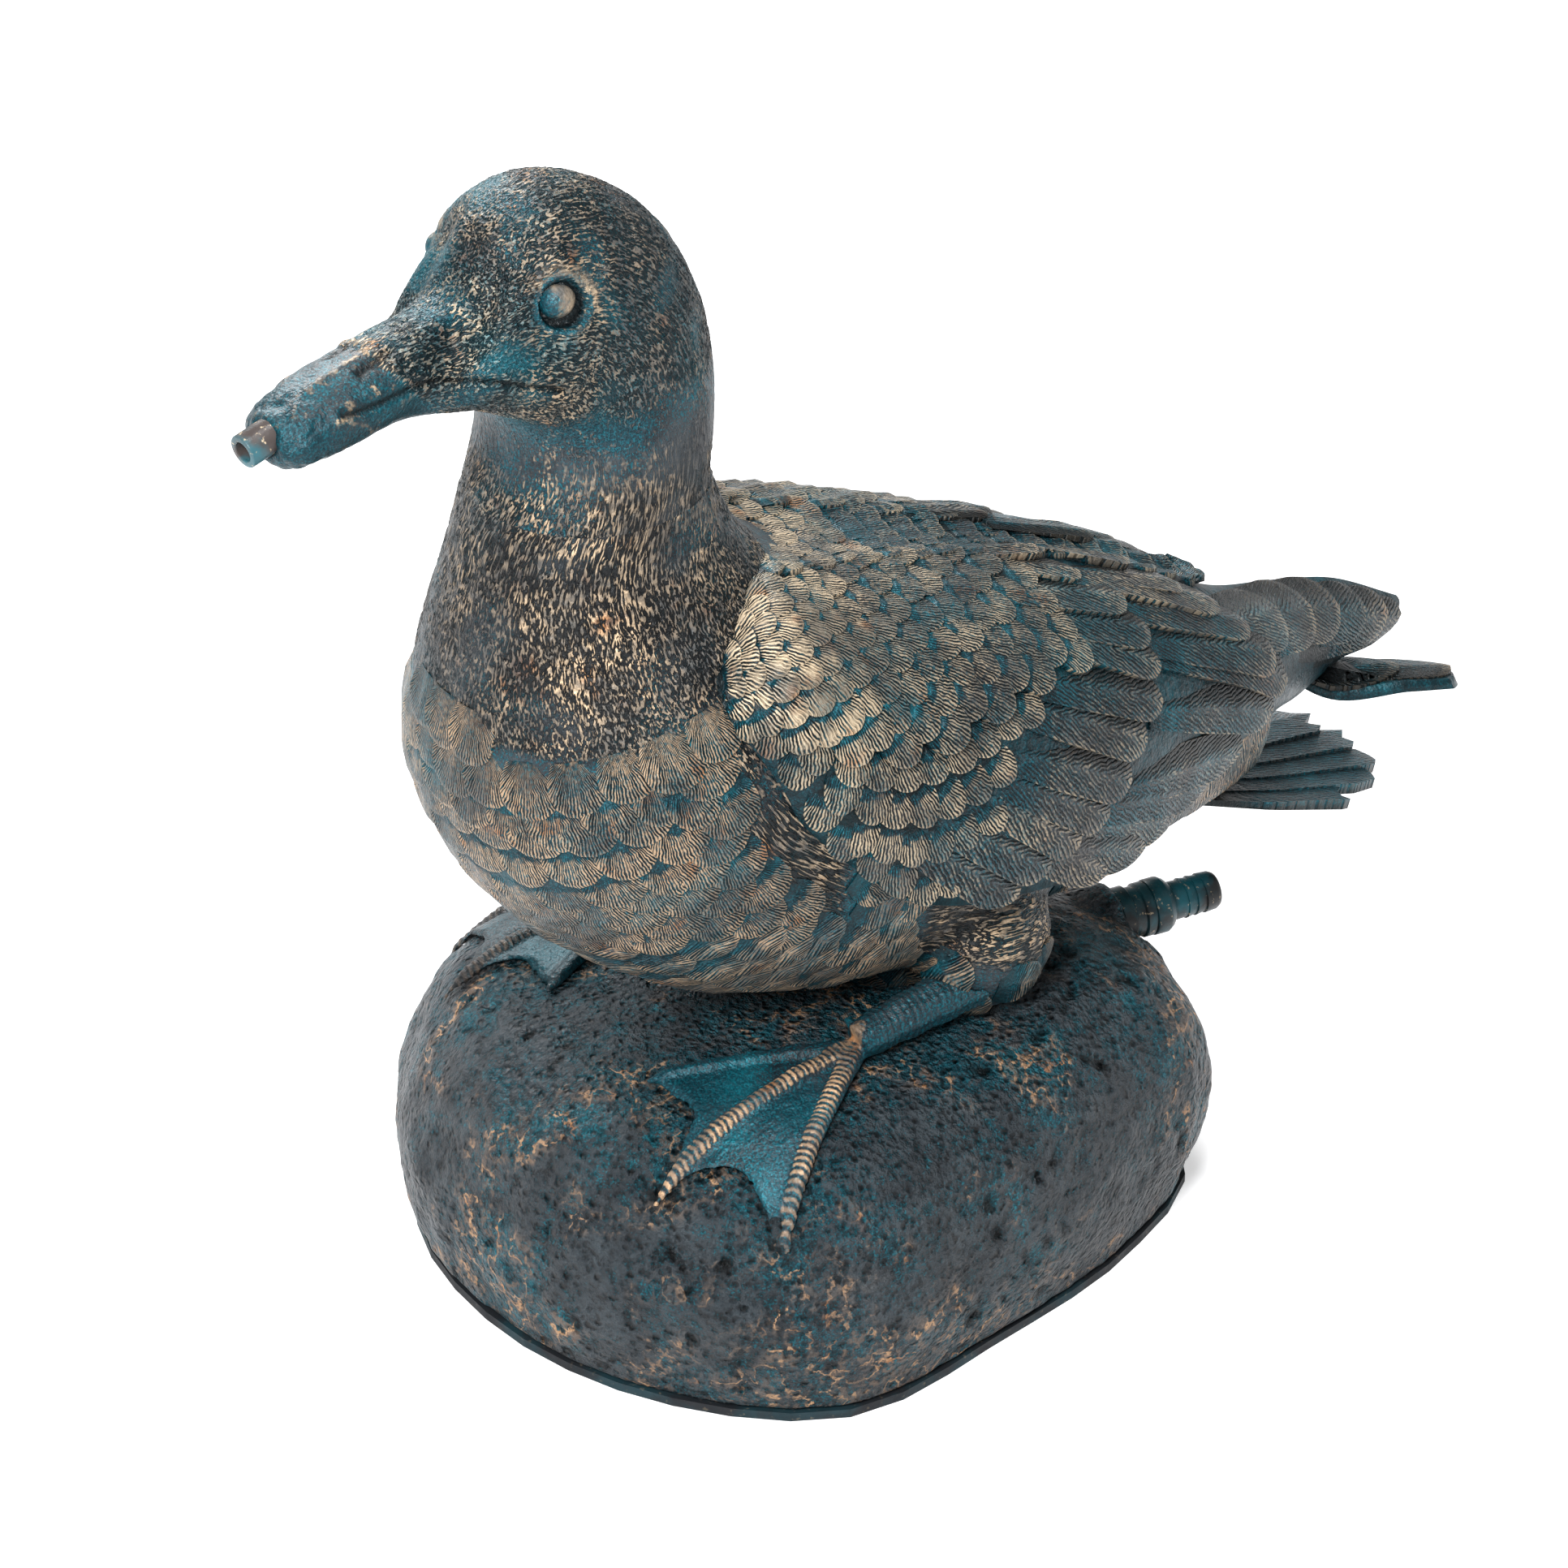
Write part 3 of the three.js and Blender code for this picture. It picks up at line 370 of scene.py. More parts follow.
# The glow shows the floor white; the figure's shadow stays on it
def makeGround():
    made, tree, shader = material("paleFloor", 0.0, ground["roughness"])
    shader.inputs["Base Color"].default_value = ground["colour"]
    shader.inputs["Emission Color"].default_value = (1, 1, 1, 1)
    ray = put(tree, "LightPath").outputs
    seen = larger(tree, larger(tree, ray["Is Camera Ray"], ray["Is Glossy Ray"]), ray["Is Transmission Ray"])
    tree.links.new(times(tree, seen, ground["glow"]), shader.inputs["Emission Strength"])
    bm = bmesh.new()
    bmesh.ops.create_grid(bm, x_segments=1, y_segments=1, size=ground["half"])
    mesh = meshFrom(bm, "floor")
    mesh.materials.append(made)
    floor = linked("floor", mesh)


lamps = {
    # azimuth, elevation, distance, size, power
    "leftLamp": (-100, 34, 1.9, 0.9, 40),
    "rightLamp": (40, 40, 1.9, 0.6, 46),
    "topLamp": (60, 80, 1.7, 0.7, 18),
}
sky = {"mirrored": 0.55, "lighting": 0.27}


def lightUp():
    for name, (azimuth, elevation, distance, size, power) in lamps.items():
        data = bpy.data.lights.new(name, "AREA")
        data.shape = "DISK"
        data.size = size
        data.energy = power
        lamp = linked(name, data)
        away = towards(azimuth, elevation)
        lamp.location = Vector(view["target"]) + away * distance
        lamp.rotation_euler = away.to_track_quat("Z", "Y").to_euler()
    world = bpy.data.worlds.new("studio")
    world.use_nodes = True
    tree = world.node_tree
    ray = put(tree, "LightPath").outputs
    background = tree.nodes["Background"]
    background.inputs["Color"].default_value = (1, 1, 1, 1)
    sight = larger(tree, ray["Is Camera Ray"], ray["Is Transmission Ray"])
    other = between(tree, ray["Is Glossy Ray"], 0.0, 1.0, sky["lighting"], sky["mirrored"])
    tree.links.new(larger(tree, sight, other), background.inputs["Strength"])
    bpy.context.scene.world = world
    bpy.context.scene.view_settings.view_transform = "Standard"


# Meshes

def meshFrom(bm, name):
    mesh = bpy.data.meshes.new(name)
    bm.to_mesh(mesh)
    bm.free()
    return mesh


def smoothFaces(bm):
    for face in bm.faces:
        face.smooth = True


# Adds a second layer to a sheet, in the same place and joined round its edge; returns the first layer
def doubled(bm):
    made = bmesh.ops.extrude_face_region(bm, geom=bm.faces[:] + bm.edges[:] + bm.verts[:])["geom"]
    second = {v for v in made if isinstance(v, bmesh.types.BMVert)}
    return [v for v in bm.verts if v not in second]


def pointsOf(mesh):
    points = np.empty(len(mesh.vertices) * 3)
    mesh.vertices.foreach_get("co", points)
    return points.reshape(-1, 3)


def setPoints(mesh, points):
    mesh.vertices.foreach_set("co", points.ravel())
    mesh.update()


# Moves each point along its normal, in millimetres
def risen(mesh, points, rise):
    normals = np.empty(len(points) * 3)
    mesh.vertex_normals.foreach_get("vector", normals)
    setPoints(mesh, (points + normals.reshape(-1, 3) * rise[:, None]) * mm)


def setFields(mesh, **fields):
    for name, values in fields.items():
        vector = values.ndim == 2
        layer = mesh.attributes.new(name, "FLOAT_VECTOR" if vector else "FLOAT", "POINT")
        layer.data.foreach_set("vector" if vector else "value", values.ravel())


def surfaceOf(mesh):
    bm = bmesh.new()
    bm.from_mesh(mesh)
    surface = BVHTree.FromBMesh(bm)
    bm.free()
    return surface


def piece(name, mesh, slot, finish, *replaced):
    mesh.name = name
    mesh.materials.clear()
    mesh.materials.append(finish)
    made = linked(name, mesh)
    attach(made, "root")
    if replaced:
        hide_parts(*replaced)
    print(name, len(mesh.polygons), "faces")


def noiseAt(points, size, seed=0.0):
    shift = seed * 13.7
    return np.array([noise.noise((x, y, z)) for x, y, z in points / size + shift])


def ease(values, low, high):
    t = np.clip((values - low) / (high - low), 0, 1)
    return t * t * (3 - 2 * t)


# 1 at the middle, falling off to nothing
def mound(values, middle, reach):
    return np.exp(-((values - middle) / reach) ** 2)


makeCamera()
lightUp()
makeGround()
print("stage is set")

furPaint = makeFurPaint("furPaint", across=1250, along=400, depth=0.0012, teal=0.48)
neckPaint = makeFurPaint("neckPaint", across=1250, along=300, depth=0.0013, teal=0.2)
bladePaint = makeBladePaint("bladePaint", pitch=0.0010, gold=0.3, teal=0.46, depth=0.0011)
bellyPaint = makeBladePaint("bellyPaint", pitch=0.0009, gold=0.34, teal=0.6, depth=0.0009, gutter=0.5,
                            barbShadowDepth=0.85, warm=0.4)
tailPaint = makeBladePaint("tailPaint", pitch=0.0012, gold=0.0, teal=0.65, depth=0.0012)
stonePaint = makeStonePaint()
footPaint = makeFootPaint(teal=0.42, warm=0.5, depth=0.0009)
blackMoulding = makeFitting("blackMoulding", (0.012, 0.013, 0.014), 0.36, overspray=0.45, speckle=0.5)
plateMoulding = makeFitting("plateMoulding", (0.010, 0.012, 0.015), 0.6, overspray=0.12, speckle=0.1)
tubeGrey = makeFitting("tubeGrey", (0.055, 0.045, 0.042), 0.3, overspray=0.5, speckle=0.7)
sealRubber = makeFitting("sealRubber", (0.02, 0.02, 0.02), 0.8)
zincCoat = makeFitting("zincCoat", (0.55, 0.56, 0.57), 0.34, metallic=0.9)
clearHose = makeFitting("clearHose", (0.72, 0.75, 0.72), 0.2, **{"Transmission Weight": 0.6})


# Cast forms: a copy of the CAD nodes, remeshed and rounded off

def smoothed(points, edges, rounds):
    count = len(points)
    a, b = edges[:, 0], edges[:, 1]
    links = np.maximum(np.bincount(a, minlength=count) + np.bincount(b, minlength=count), 1)
    for _ in range(rounds):
        near = [np.bincount(a, points[b, k], count) + np.bincount(b, points[a, k], count) for k in range(3)]
        points = 0.5 * points + 0.5 * np.stack(near, 1) / links[:, None]
    return points


# The second pass puts back what the first one shrank
def roundedOff(points, edges, rounds):
    first = smoothed(points, edges, rounds)
    return first + smoothed(points - first, edges, rounds)


# The water channel is filled, so that rounding off doesn't open its wall
channelFill = {
    "radius": 9.5, "tipRadius": 6.6,
    "route": [(8, 30, 80), (0, 12, 98), (0, 2, 122), (0, -8, 155), (0, -28, 205), (0, -58, 258),
              (0, -80, 300), (1, -92, 335), (3, -106, 366), (8, -130, 386), (12, -154, 391)],
    "tip": [(12, -154, 391), (15.5, -174, 387.6), (22.2, -212, 380.3)],
}


def evaluated(made):
    return bpy.data.meshes.new_from_object(made.evaluated_get(bpy.context.evaluated_depsgraph_get()))


def rod(bm, route, radius):
    curve = bpy.data.curves.new("rod", "CURVE")
    curve.dimensions = "3D"
    curve.bevel_depth = radius * mm
    curve.bevel_resolution = 4
    curve.use_fill_caps = True
    spline = curve.splines.new("POLY")
    spline.points.add(len(route) - 1)
    for point, place in zip(spline.points, route):
        point.co = (*(Vector(place) * mm), 1)
    made = linked("rod", curve)
    bm.from_mesh(evaluated(made))
    bpy.data.objects.remove(made)


def castBlank(nodes, voxel, rounds, lowest=None):
    bm = bmesh.new()
    if "body_casting" in nodes:
        rod(bm, channelFill["route"], channelFill["radius"])
        rod(bm, channelFill["tip"], channelFill["tipRadius"])
    for node in nodes:
        bm.from_mesh(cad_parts[node].data)
    bmesh.ops.remove_doubles(bm, verts=bm.verts, dist=0.01 * mm)
    blank = linked("blank", meshFrom(bm, "blank"))
    remesh = blank.modifiers.new("remesh", "REMESH")
    remesh.mode = "VOXEL"
    remesh.voxel_size = voxel * mm
    made = evaluated(blank)
    bpy.data.objects.remove(blank)
    if lowest is not None:
        cutLevel(made, lowest * mm, True)
    edges = np.empty(len(made.edges) * 2, dtype=np.int64)
    made.edges.foreach_get("vertices", edges)
    setPoints(made, roundedOff(pointsOf(made), edges.reshape(-1, 2), rounds))
    return made


def cutLevel(mesh, height, keepAbove):
    bm = bmesh.new()
    bm.from_mesh(mesh)
    cut = bmesh.ops.bisect_plane(
        bm, geom=bm.verts[:] + bm.edges[:] + bm.faces[:], plane_co=(0, 0, height), plane_no=(0, 0, 1),
        clear_inner=keepAbove, clear_outer=not keepAbove)
    rim = [e for e in cut["geom_cut"] if isinstance(e, bmesh.types.BMEdge)]
    before = set(bm.faces)
    bmesh.ops.edgenet_fill(bm, edges=rim)
    for face in set(bm.faces) - before:
        face.smooth = False
    for edge in rim:
        edge.smooth = False
    bmesh.ops.recalc_face_normals(bm, faces=bm.faces)
    bm.to_mesh(mesh)
    bm.free()


# Plumage follows a line from the bill's tip over the neck to the rump

flowLine = {
    "line": [(-217, 379), (-195, 383), (-165, 391), (-135, 396), (-108, 392), (-90, 372), (-86, 345),
             (-86, 318), (-88, 292), (-85, 265), (-76, 238), (-58, 210), (-25, 185), (30, 168),
             (100, 165), (190, 158)],
    "samples": 240, "rounds": 12,
    # the head is turned about an upright axis at neckY, by turn degrees above turnHigh
    "neckY": -86, "turn": 10, "turnLow": 300, "turnHigh": 335,
    # strokes are longer below the jaw
    "jaw": (-86, 345), "longer": 0.56,
    # lowest level of the short strokes, by how far back a point lies
    "furEdge": ([-150, -85, -60, -30], [246, 250, 262, 284]),
}


# Turns the head back in line with the body, in millimetres
def straightened(points):
    turn = math.radians(flowLine["turn"]) * ease(points[:, 2], flowLine["turnLow"], flowLine["turnHigh"])
    x, y, z = points[:, 0], points[:, 1] - flowLine["neckY"], points[:, 2]
    turned = y * np.cos(turn) - x * np.sin(turn) + flowLine["neckY"]
    return np.stack([x * np.cos(turn) + y * np.sin(turn), turned, z], 1)


def flowSamples():
    line = np.array(flowLine["line"], float)
    length = np.concatenate([[0], np.cumsum(np.hypot(*np.diff(line, axis=0).T))])
    s = np.linspace(0, length[-1], flowLine["samples"])
    place = np.stack([np.interp(s, length, line[:, k]) for k in (0, 1)], 1)
    for _ in range(flowLine["rounds"]):
        place[1:-1] = 0.5 * place[1:-1] + 0.25 * (place[:-2] + place[2:])
    way = np.gradient(place, axis=0)
    way /= np.hypot(*way.T)[:, None]
    return s, place, way


flowS, flowPlace, flowWay = flowSamples()
jawS = flowS[np.hypot(*(flowPlace - flowLine["jaw"]).T).argmin()]


# Position round and along the line: two across, one along
def flowOf(points):
    nearest = np.empty(len(points), dtype=int)
    batch = 20000
    for start in range(0, len(points), batch):
        part = points[start:start + batch, 1:]
        far = ((part[:, None, :] - flowPlace[None]) ** 2).sum(2)
        nearest[start:start + batch] = far.argmin(1)
    place, way = flowPlace[nearest], flowWay[nearest]
    off = points[:, 1:] - place
    up = off[:, 0] * -way[:, 1] + off[:, 1] * way[:, 0]
    along = flowS[nearest] + off[:, 0] * way[:, 0] + off[:, 1] * way[:, 1]
    along -= flowLine["longer"] * np.maximum(along - jawS, 0)
    return np.stack([points[:, 0], up, along], 1)


def furEdge(y):
    return np.interp(y, *flowLine["furEdge"])


def strokeRelief(flow, across, along, seed):
    wander = np.stack([noiseAt(flow, 9, seed + 1), noiseAt(flow, 9, seed + 2), np.zeros(len(flow))], 1)
    wave = noiseAt((flow + 1.6 * wander) / np.array([across, across, along]), 1, seed)
    return 1 - ease(np.abs(wave), 0.0, 0.28)


head = {
    "voxel": 0.95, "rounds": 60, "cut": 318, "spare": 24, "stroke": (1.8, 5.0), "depth": 0.4,
    # the feather margin over the bill: levels, and how far forward it reaches at each
    "margin": ([355, 385, 395, 399, 410, 416, 432], [-140, -170, -177, -173, -162, -154, -146]),
    "gape": [(-196, 386), (-182, 386), (-168, 387), (-154, 385), (-140, 381), (-124, 375)],
    "nostril": [(-184, 394), (-176, 396), (-169, 397.5)],
    "eye": (28, -120.5, 402.5), "socket": 7.6, "ball": 6.0, "ballScale": (0.85, 1, 0.9), "ballInset": 1.6,
    # heights and depths in millimetres
    "foreheadIn": 3.0, "loreIn": 4.6, "saddleIn": 1.5, "marginHigh": 0.9, "lipHigh": 0.5, "gapeDeep": 0.9,
    "nostrilDeep": 1.4, "lumpsHigh": 0.35, "nailLumps": 0.75, "culmenHigh": 0.6, "lidHigh": 0.8,
    "browHigh": 0.7, "socketDeep": 2.0,
}


def distanceTo(points, path):
    best = np.full(len(points), 1e9)
    for (ay, az), (by, bz) in zip(path, path[1:]):
        a, d = np.array([ay, az]), np.array([by - ay, bz - az])
        off = points[:, 1:] - a
        t = np.clip((off @ d) / (d @ d), 0, 1)
        best = np.minimum(best, np.hypot(*(off - t[:, None] * d).T))
    return best


def makeHead():
    nodes = ["body_casting", "head_casting"]
    mesh = castBlank(nodes, head["voxel"], head["rounds"], head["cut"] - head["spare"])
    points = pointsOf(mesh) / mm
    straight = straightened(points)
    flow = flowOf(straight)
    x, y, z = straight.T
    wide = np.abs(x)
    edge = np.interp(z, *head["margin"])
    bill = ease(edge - y, -1.5, 2.5)
    fur = (1 - bill) * (1 - 0.65 * ease(-z, -366, -352) * ease(z, 326, 338))        # thin in the neck band
    fur *= 0.55 + 0.45 * ease(noiseAt(straight, 16, 3), -0.4, 0.1)
    ridge = strokeRelief(flow, *head["stroke"], 5)
    rise = head["depth"] * fur * (ridge - 0.5)
    # the forehead runs straight down into the bill, and the sides draw in before the eyes
    forehead = mound(z, 412, 10) * ease(-y, 140, 156)
    lore = ease(-y, 116, 130) * ease(y, -166, -150) * ease(z, 378, 392)
    lore = lore * ease(-z, -426, -414) * ease(wide, 6, 16)
    saddle = mound(y, -186, 10) * ease(z, 393, 399)
    rise -= head["foreheadIn"] * forehead + head["loreIn"] * lore + head["saddleIn"] * saddle
    # feather margin over the bill, gape and nostril
    margin = mound(y, edge + 1.5, 2.2) * ease(z, 385, 396)
    toGape, side = distanceTo(straight, head["gape"]), ease(wide, 7, 11)
    gape = mound(toGape, 0, 1.1) * side
    lip = mound(toGape, 2.6, 1.3) * side
    nostril = mound(distanceTo(straight, head["nostril"]), 0, 1.2) * ease(wide, 4, 8)
    rise += head["marginHigh"] * margin + head["lipHigh"] * lip - head["gapeDeep"] * gape
    rise -= head["nostrilDeep"] * nostril
    # lumpy bill with its ridge and nail
    lumps = noiseAt(straight, 7, 8) + 0.5 * noiseAt(straight, 3.2, 9)
    culmen = mound(x, 2.0, 2.0) * bill * ease(z, 385, 392)
    rise += bill * (head["lumpsHigh"] + head["nailLumps"] * ease(y, -196, -208)) * lumps
    rise += head["culmenHigh"] * culmen
    # eye sockets with lid and brow
    _, eyeY, eyeZ = head["eye"]
    apart = np.hypot(y - eyeY, z - eyeZ) + 100 * (wide < 15)
    socket = 1 - ease(apart, head["socket"] - 0.8, head["socket"] + 0.6)
    lid = mound(apart, head["socket"] + 1.2, 0.9)
    brow = mound(apart, 11.0, 2.0) * ease(z - eyeZ + 0.5 * (y - eyeY), -2, 5)
    rise += head["lidHigh"] * lid + head["browHigh"] * brow - head["socketDeep"] * socket
    fur *= 1 - np.clip(lid + socket, 0, 1)
    # where the paint goes
    blotch = mound(y, -100, 24) * mound(z, 331, 13) * ease(x, 2, 18)
    rear = ease(y, -112, -90) * (1 - blotch)
    raised = 0.2 * ridge * fur + 0.6 * margin + 0.3 * lid + 0.6 * brow + 0.1 * lip + 0.35 * blotch
    raised += bill * ease(lumps, 0.1, 0.8) * 0.42 + 0.4 * culmen
    gilt = 0.5 + 0.5 * np.maximum(margin, brow) + 0.35 * ease(noiseAt(straight, 24, 11), -0.1, 0.3)
    gilt += 0.3 * np.maximum(bill, blotch)
    spray = 0.12 + 0.6 * mound(y, -138, 28) * mound(z, 393, 18) - 0.25 * ease(y, -112, -85)
    spray -= 0.3 * np.maximum(ease(-z, -356, -340), bill * ease(z, 385, 396))
    # painted shade in the gape, nostril and eye sockets; the bill is painted darker all over
    deep = np.clip(1 - 0.8 * gape - nostril - 0.95 * socket, 0, 1) * (1 - 0.5 * bill)
    gilt *= (1 - 0.55 * rear) * 0.88
    risen(mesh, points, rise)
    setFields(mesh, flow=flow * mm, fur=fur, gilt=gilt, raised=np.clip(raised, 0, 1), deep=deep, spray=spray)
    cutLevel(mesh, head["cut"] * mm, True)
    piece("duck_head", mesh, "head_resin", furPaint, "head_casting")


# A ball in each eye socket, gold towards the rear
def makeEyes():
    turn, neckY = math.radians(flowLine["turn"]), flowLine["neckY"]
    eyeX, eyeY, eyeZ = head["eye"]
    bm = bmesh.new()
    for side in (1, -1):
        ball = bmesh.ops.create_uvsphere(bm, u_segments=28, v_segments=20, radius=head["ball"] * mm)["verts"]
        bmesh.ops.scale(bm, verts=ball, vec=head["ballScale"])
        x, y = side * (eyeX - head["ballInset"]), eyeY - neckY
        turned = (x * math.cos(turn) - y * math.sin(turn), x * math.sin(turn) + y * math.cos(turn) + neckY)
        bmesh.ops.translate(bm, verts=ball, vec=Vector((*turned, eyeZ)) * mm)
    smoothFaces(bm)
    mesh = meshFrom(bm, "eyes")
    points = pointsOf(mesh) / mm
    rear = ease(points[:, 1] - points[:, 0] * 0.2, -127, -122)
    setFields(mesh, flow=points * mm, gilt=rear, raised=0.2 + 0.7 * rear, spray=0.6 * (1 - rear),
              fur=np.zeros(len(points)), deep=np.ones(len(points)))
    piece("eyes", mesh, "head_resin", furPaint)


body = {
    "voxel": 1.7, "rounds": 42, "stroke": (2.4, 4.2), "depth": 0.55,
    # the wing's lower edge, and patches of rough down under it: from and to in y, and how far they reach
    "wingFoot": ([-72, -48, -14, 30, 80, 130], [242, 206, 176, 163, 152, 130]),
    "tufts": [(-80, -34, 32), (-6, 62, 40)], "tuftSide": 40,
}


def tuftAt(y, z):
    below = np.interp(y, *body["wingFoot"]) - z
    inside = np.zeros(np.shape(y))
    for first, last, reach in body["tufts"]:
        patch = ease(y, first, first + 8) * ease(-y, -last, 8 - last) * ease(reach - below, 0, 6)
        inside = np.maximum(inside, patch)
    return inside * ease(below, -12, -6)


def makeBody():
    mesh = castBlank(["body_casting", "head_casting"], body["voxel"], body["rounds"])
    surface = surfaceOf(mesh)
    points = pointsOf(mesh) / mm
    straight = straightened(points)
    flow = flowOf(straight)
    x, y, z = straight.T
    above = ease(z - furEdge(y), -3, 3)
    tuft = tuftAt(y, z) * ease(np.abs(x), body["tuftSide"], body["tuftSide"] + 10)
    fur = above + tuft * (1 - above)
    fur *= 0.6 + 0.4 * ease(noiseAt(straight, 22, 4), -0.4, 0.1)
    ridge = strokeRelief(flow, *body["stroke"], 6)
    # a pale gold patch on the neck's front and a copper one under the jaw
    pale = mound(y, -115, 26) * mound(z, 284, 30) * ease(x, 5, 30)
    blotch = mound(y, -100, 26) * mound(z, 327, 13) * ease(x, 5, 20)
    raised = 0.15 * ridge * fur + 0.15 * pale + 0.3 * blotch
    gilt = 0.35 + 0.6 * (pale + blotch + tuft) + 0.25 * ease(noiseAt(straight, 30, 12), 0, 0.4)
    risen(mesh, points, body["depth"] * fur * (ridge - 0.5))
    # painted shade between the hair strokes
    setFields(mesh, flow=flow * mm, fur=fur, gilt=np.clip(gilt, 0, 1), raised=np.clip(raised, 0, 1),
              deep=1 - 0.25 * fur * (1 - ridge), spray=0.12 * (1 - above) * (1 - tuft) - 0.2 * pale)
    cutLevel(mesh, head["cut"] * mm, False)
    piece("duck_body", mesh, "feather_resin", neckPaint, "body_casting")
    return surface


# Feathers: one blade shape, laid again and again over a surface

def bladeTemplate(columns, rows):
    bm = bmesh.new()
    bmesh.ops.create_grid(bm, x_segments=columns, y_segments=rows, size=1)
    under = set(doubled(bm))
    bmesh.ops.translate(bm, verts=[v for v in bm.verts if v not in under], vec=(0, 0, 1))
    bmesh.ops.dissolve_faces(bm, faces=[f for f in bm.faces if all(v.co.z < 0.5 for v in f.verts)])
    bmesh.ops.delete(bm, geom=[v for v in bm.verts if not v.link_faces], context="VERTS")
    bmesh.ops.recalc_face_normals(bm, faces=bm.faces)
    smoothFaces(bm)
    for edge in bm.edges:
        edge.smooth = edge.calc_face_angle(0) < 1.2
    mesh = meshFrom(bm, "blade")
    return mesh, pointsOf(mesh)


# What a feather has if its form doesn't say otherwise. Base lifts all of it, slant and coarse set its barbs,
# shade and dim paint shade on its root and on the whole feather; its side tucked under the next feather gets
# painted shadow
plainBlade = {
    "base": 0.0, "slant": 2.4, "coarse": 4.0, "shade": 0.12, "dim": 1.0, "tuckShadow": 0.2, "ragged": 0.0,
    "seed": 0.0, "up": None,
}


# One feather from its root to its tip over a surface: points, UV and fields
def layBlade(shape, surface, root, tip, form):
    form = {**plainBlade, **form}
    root, tip = Vector(root), Vector(tip)
    way, length = (tip - root).normalized(), (tip - root).length
    up = form["up"] or surface.find_nearest((root + tip) / 2 * mm)[1]
    side = way.cross(up).normalized()
    x = np.sin(shape[:, 0] * math.pi / 2)
    t = 1 - (1 - (shape[:, 1] + 1) / 2) ** 1.5
    top = shape[:, 2] > 0.5
    reach = length * (1 - form["round"] * (1 - np.sqrt(np.maximum(1 - x * x, 0))))
    if form["ragged"]:
        torn = np.array([abs(noise.noise((v * 4, form["seed"], 0))) for v in x])
        reach = reach * (1 - form["ragged"] * torn)
    across = x * form["width"] / 2 * (form["neck"] + (1 - form["neck"]) * np.minimum(1, t / 0.5))
    along = t * reach
    rise = form["base"] - 0.5 + form["lift"] * t ** 1.2 - form["cup"] * x * x
    rise += form["quill"] * (1 - np.abs(x)) ** 4 + form["shingle"] * x - 0.5 * ease(t, 0.93, 1)
    rise = np.where(top, rise, -form["sink"])
    flat = np.array(root) + np.outer(across, side) + np.outer(along, way)
    points = flat + np.outer(rise, up)
    if surface is not None:
        for i, p in enumerate(flat):
            near, normal, _, _ = surface.find_nearest(Vector(p) * mm)
            near, normal = np.array(near) / mm, np.array(normal)
            off = p - near
            points[i] = near + 0.5 * (off - normal * (off @ normal)) + normal * rise[i]
    seen = (along / length - form["hidden"]) / (1 - form["hidden"])
    if form["fan"]:
        phase = np.arctan2(across, along + 0.2 * length) * 0.85 * length
    else:
        phase = (along - form["slant"] * np.abs(across)) / form["coarse"]
    rim = np.maximum(ease(t, 0.93, 1), ease(np.abs(x), 0.92, 1) * ease(seen, 0, 0.3))
    # painted shadow at the root where the feather in front covers it and on the side tucked under the next
    # one; dim paints the whole feather darker as shade
    rootShadow = form["shade"] + (1 - form["shade"]) * ease(seen, -0.12, 0.16)
    deep = np.where(top, rootShadow, 0.1) * form["dim"] * (1 - form["tuckShadow"] * ease(-x, -0.05, 0.55))
    tone = np.full(len(x), form["tone"])
    quill = (1 - np.abs(x)) ** 12 * (t < 0.85)
    return points, np.stack([phase, along], 1), np.stack([tone, seen, deep, rim, quill], 1)


def plumage(name, template, blades, flipped=False):
    bm = bmesh.new()
    for _ in blades:
        bm.from_mesh(template[0])
    mesh = meshFrom(bm, name)
    points, uv, fields = [np.concatenate([blade[k] for blade in blades]) for k in range(3)]
    setPoints(mesh, points * mm * (np.array([-1, 1, 1]) if flipped else 1))
    if flipped:
        mesh.flip_normals()
    corner = np.empty(len(mesh.loops), dtype=np.int64)
    mesh.loops.foreach_get("vertex_index", corner)
    mesh.uv_layers.new(name="feather").data.foreach_set("uv", (uv * mm)[corner].ravel())
    setFields(mesh, **{label: fields[:, k].copy() for k, label in enumerate(bladeFields)})
    return mesh


# Adds the sheet under the feathers to their mesh, with shade painted on it
def backed(mesh, sheet, shade=0.45):
    setFields(sheet, deep=np.full(len(sheet.vertices), shade))
    bm = bmesh.new()
    bm.from_mesh(mesh)
    bm.from_mesh(sheet)
    bm.to_mesh(mesh)
    bm.free()


# the long feathers are painted slightly darker all over as shade, with painted shadow on the side tucked
# under the next one
longFeather = {"neck": 0.8, "quill": 0.5, "sink": 1.0, "fan": False, "cup": 0.5, "dim": 0.9, "tuckShadow": 0.85}
roundFeather = {"neck": 0.7, "quill": 0.4, "sink": 1.0, "fan": True, "cup": 1.0, "round": 0.36}

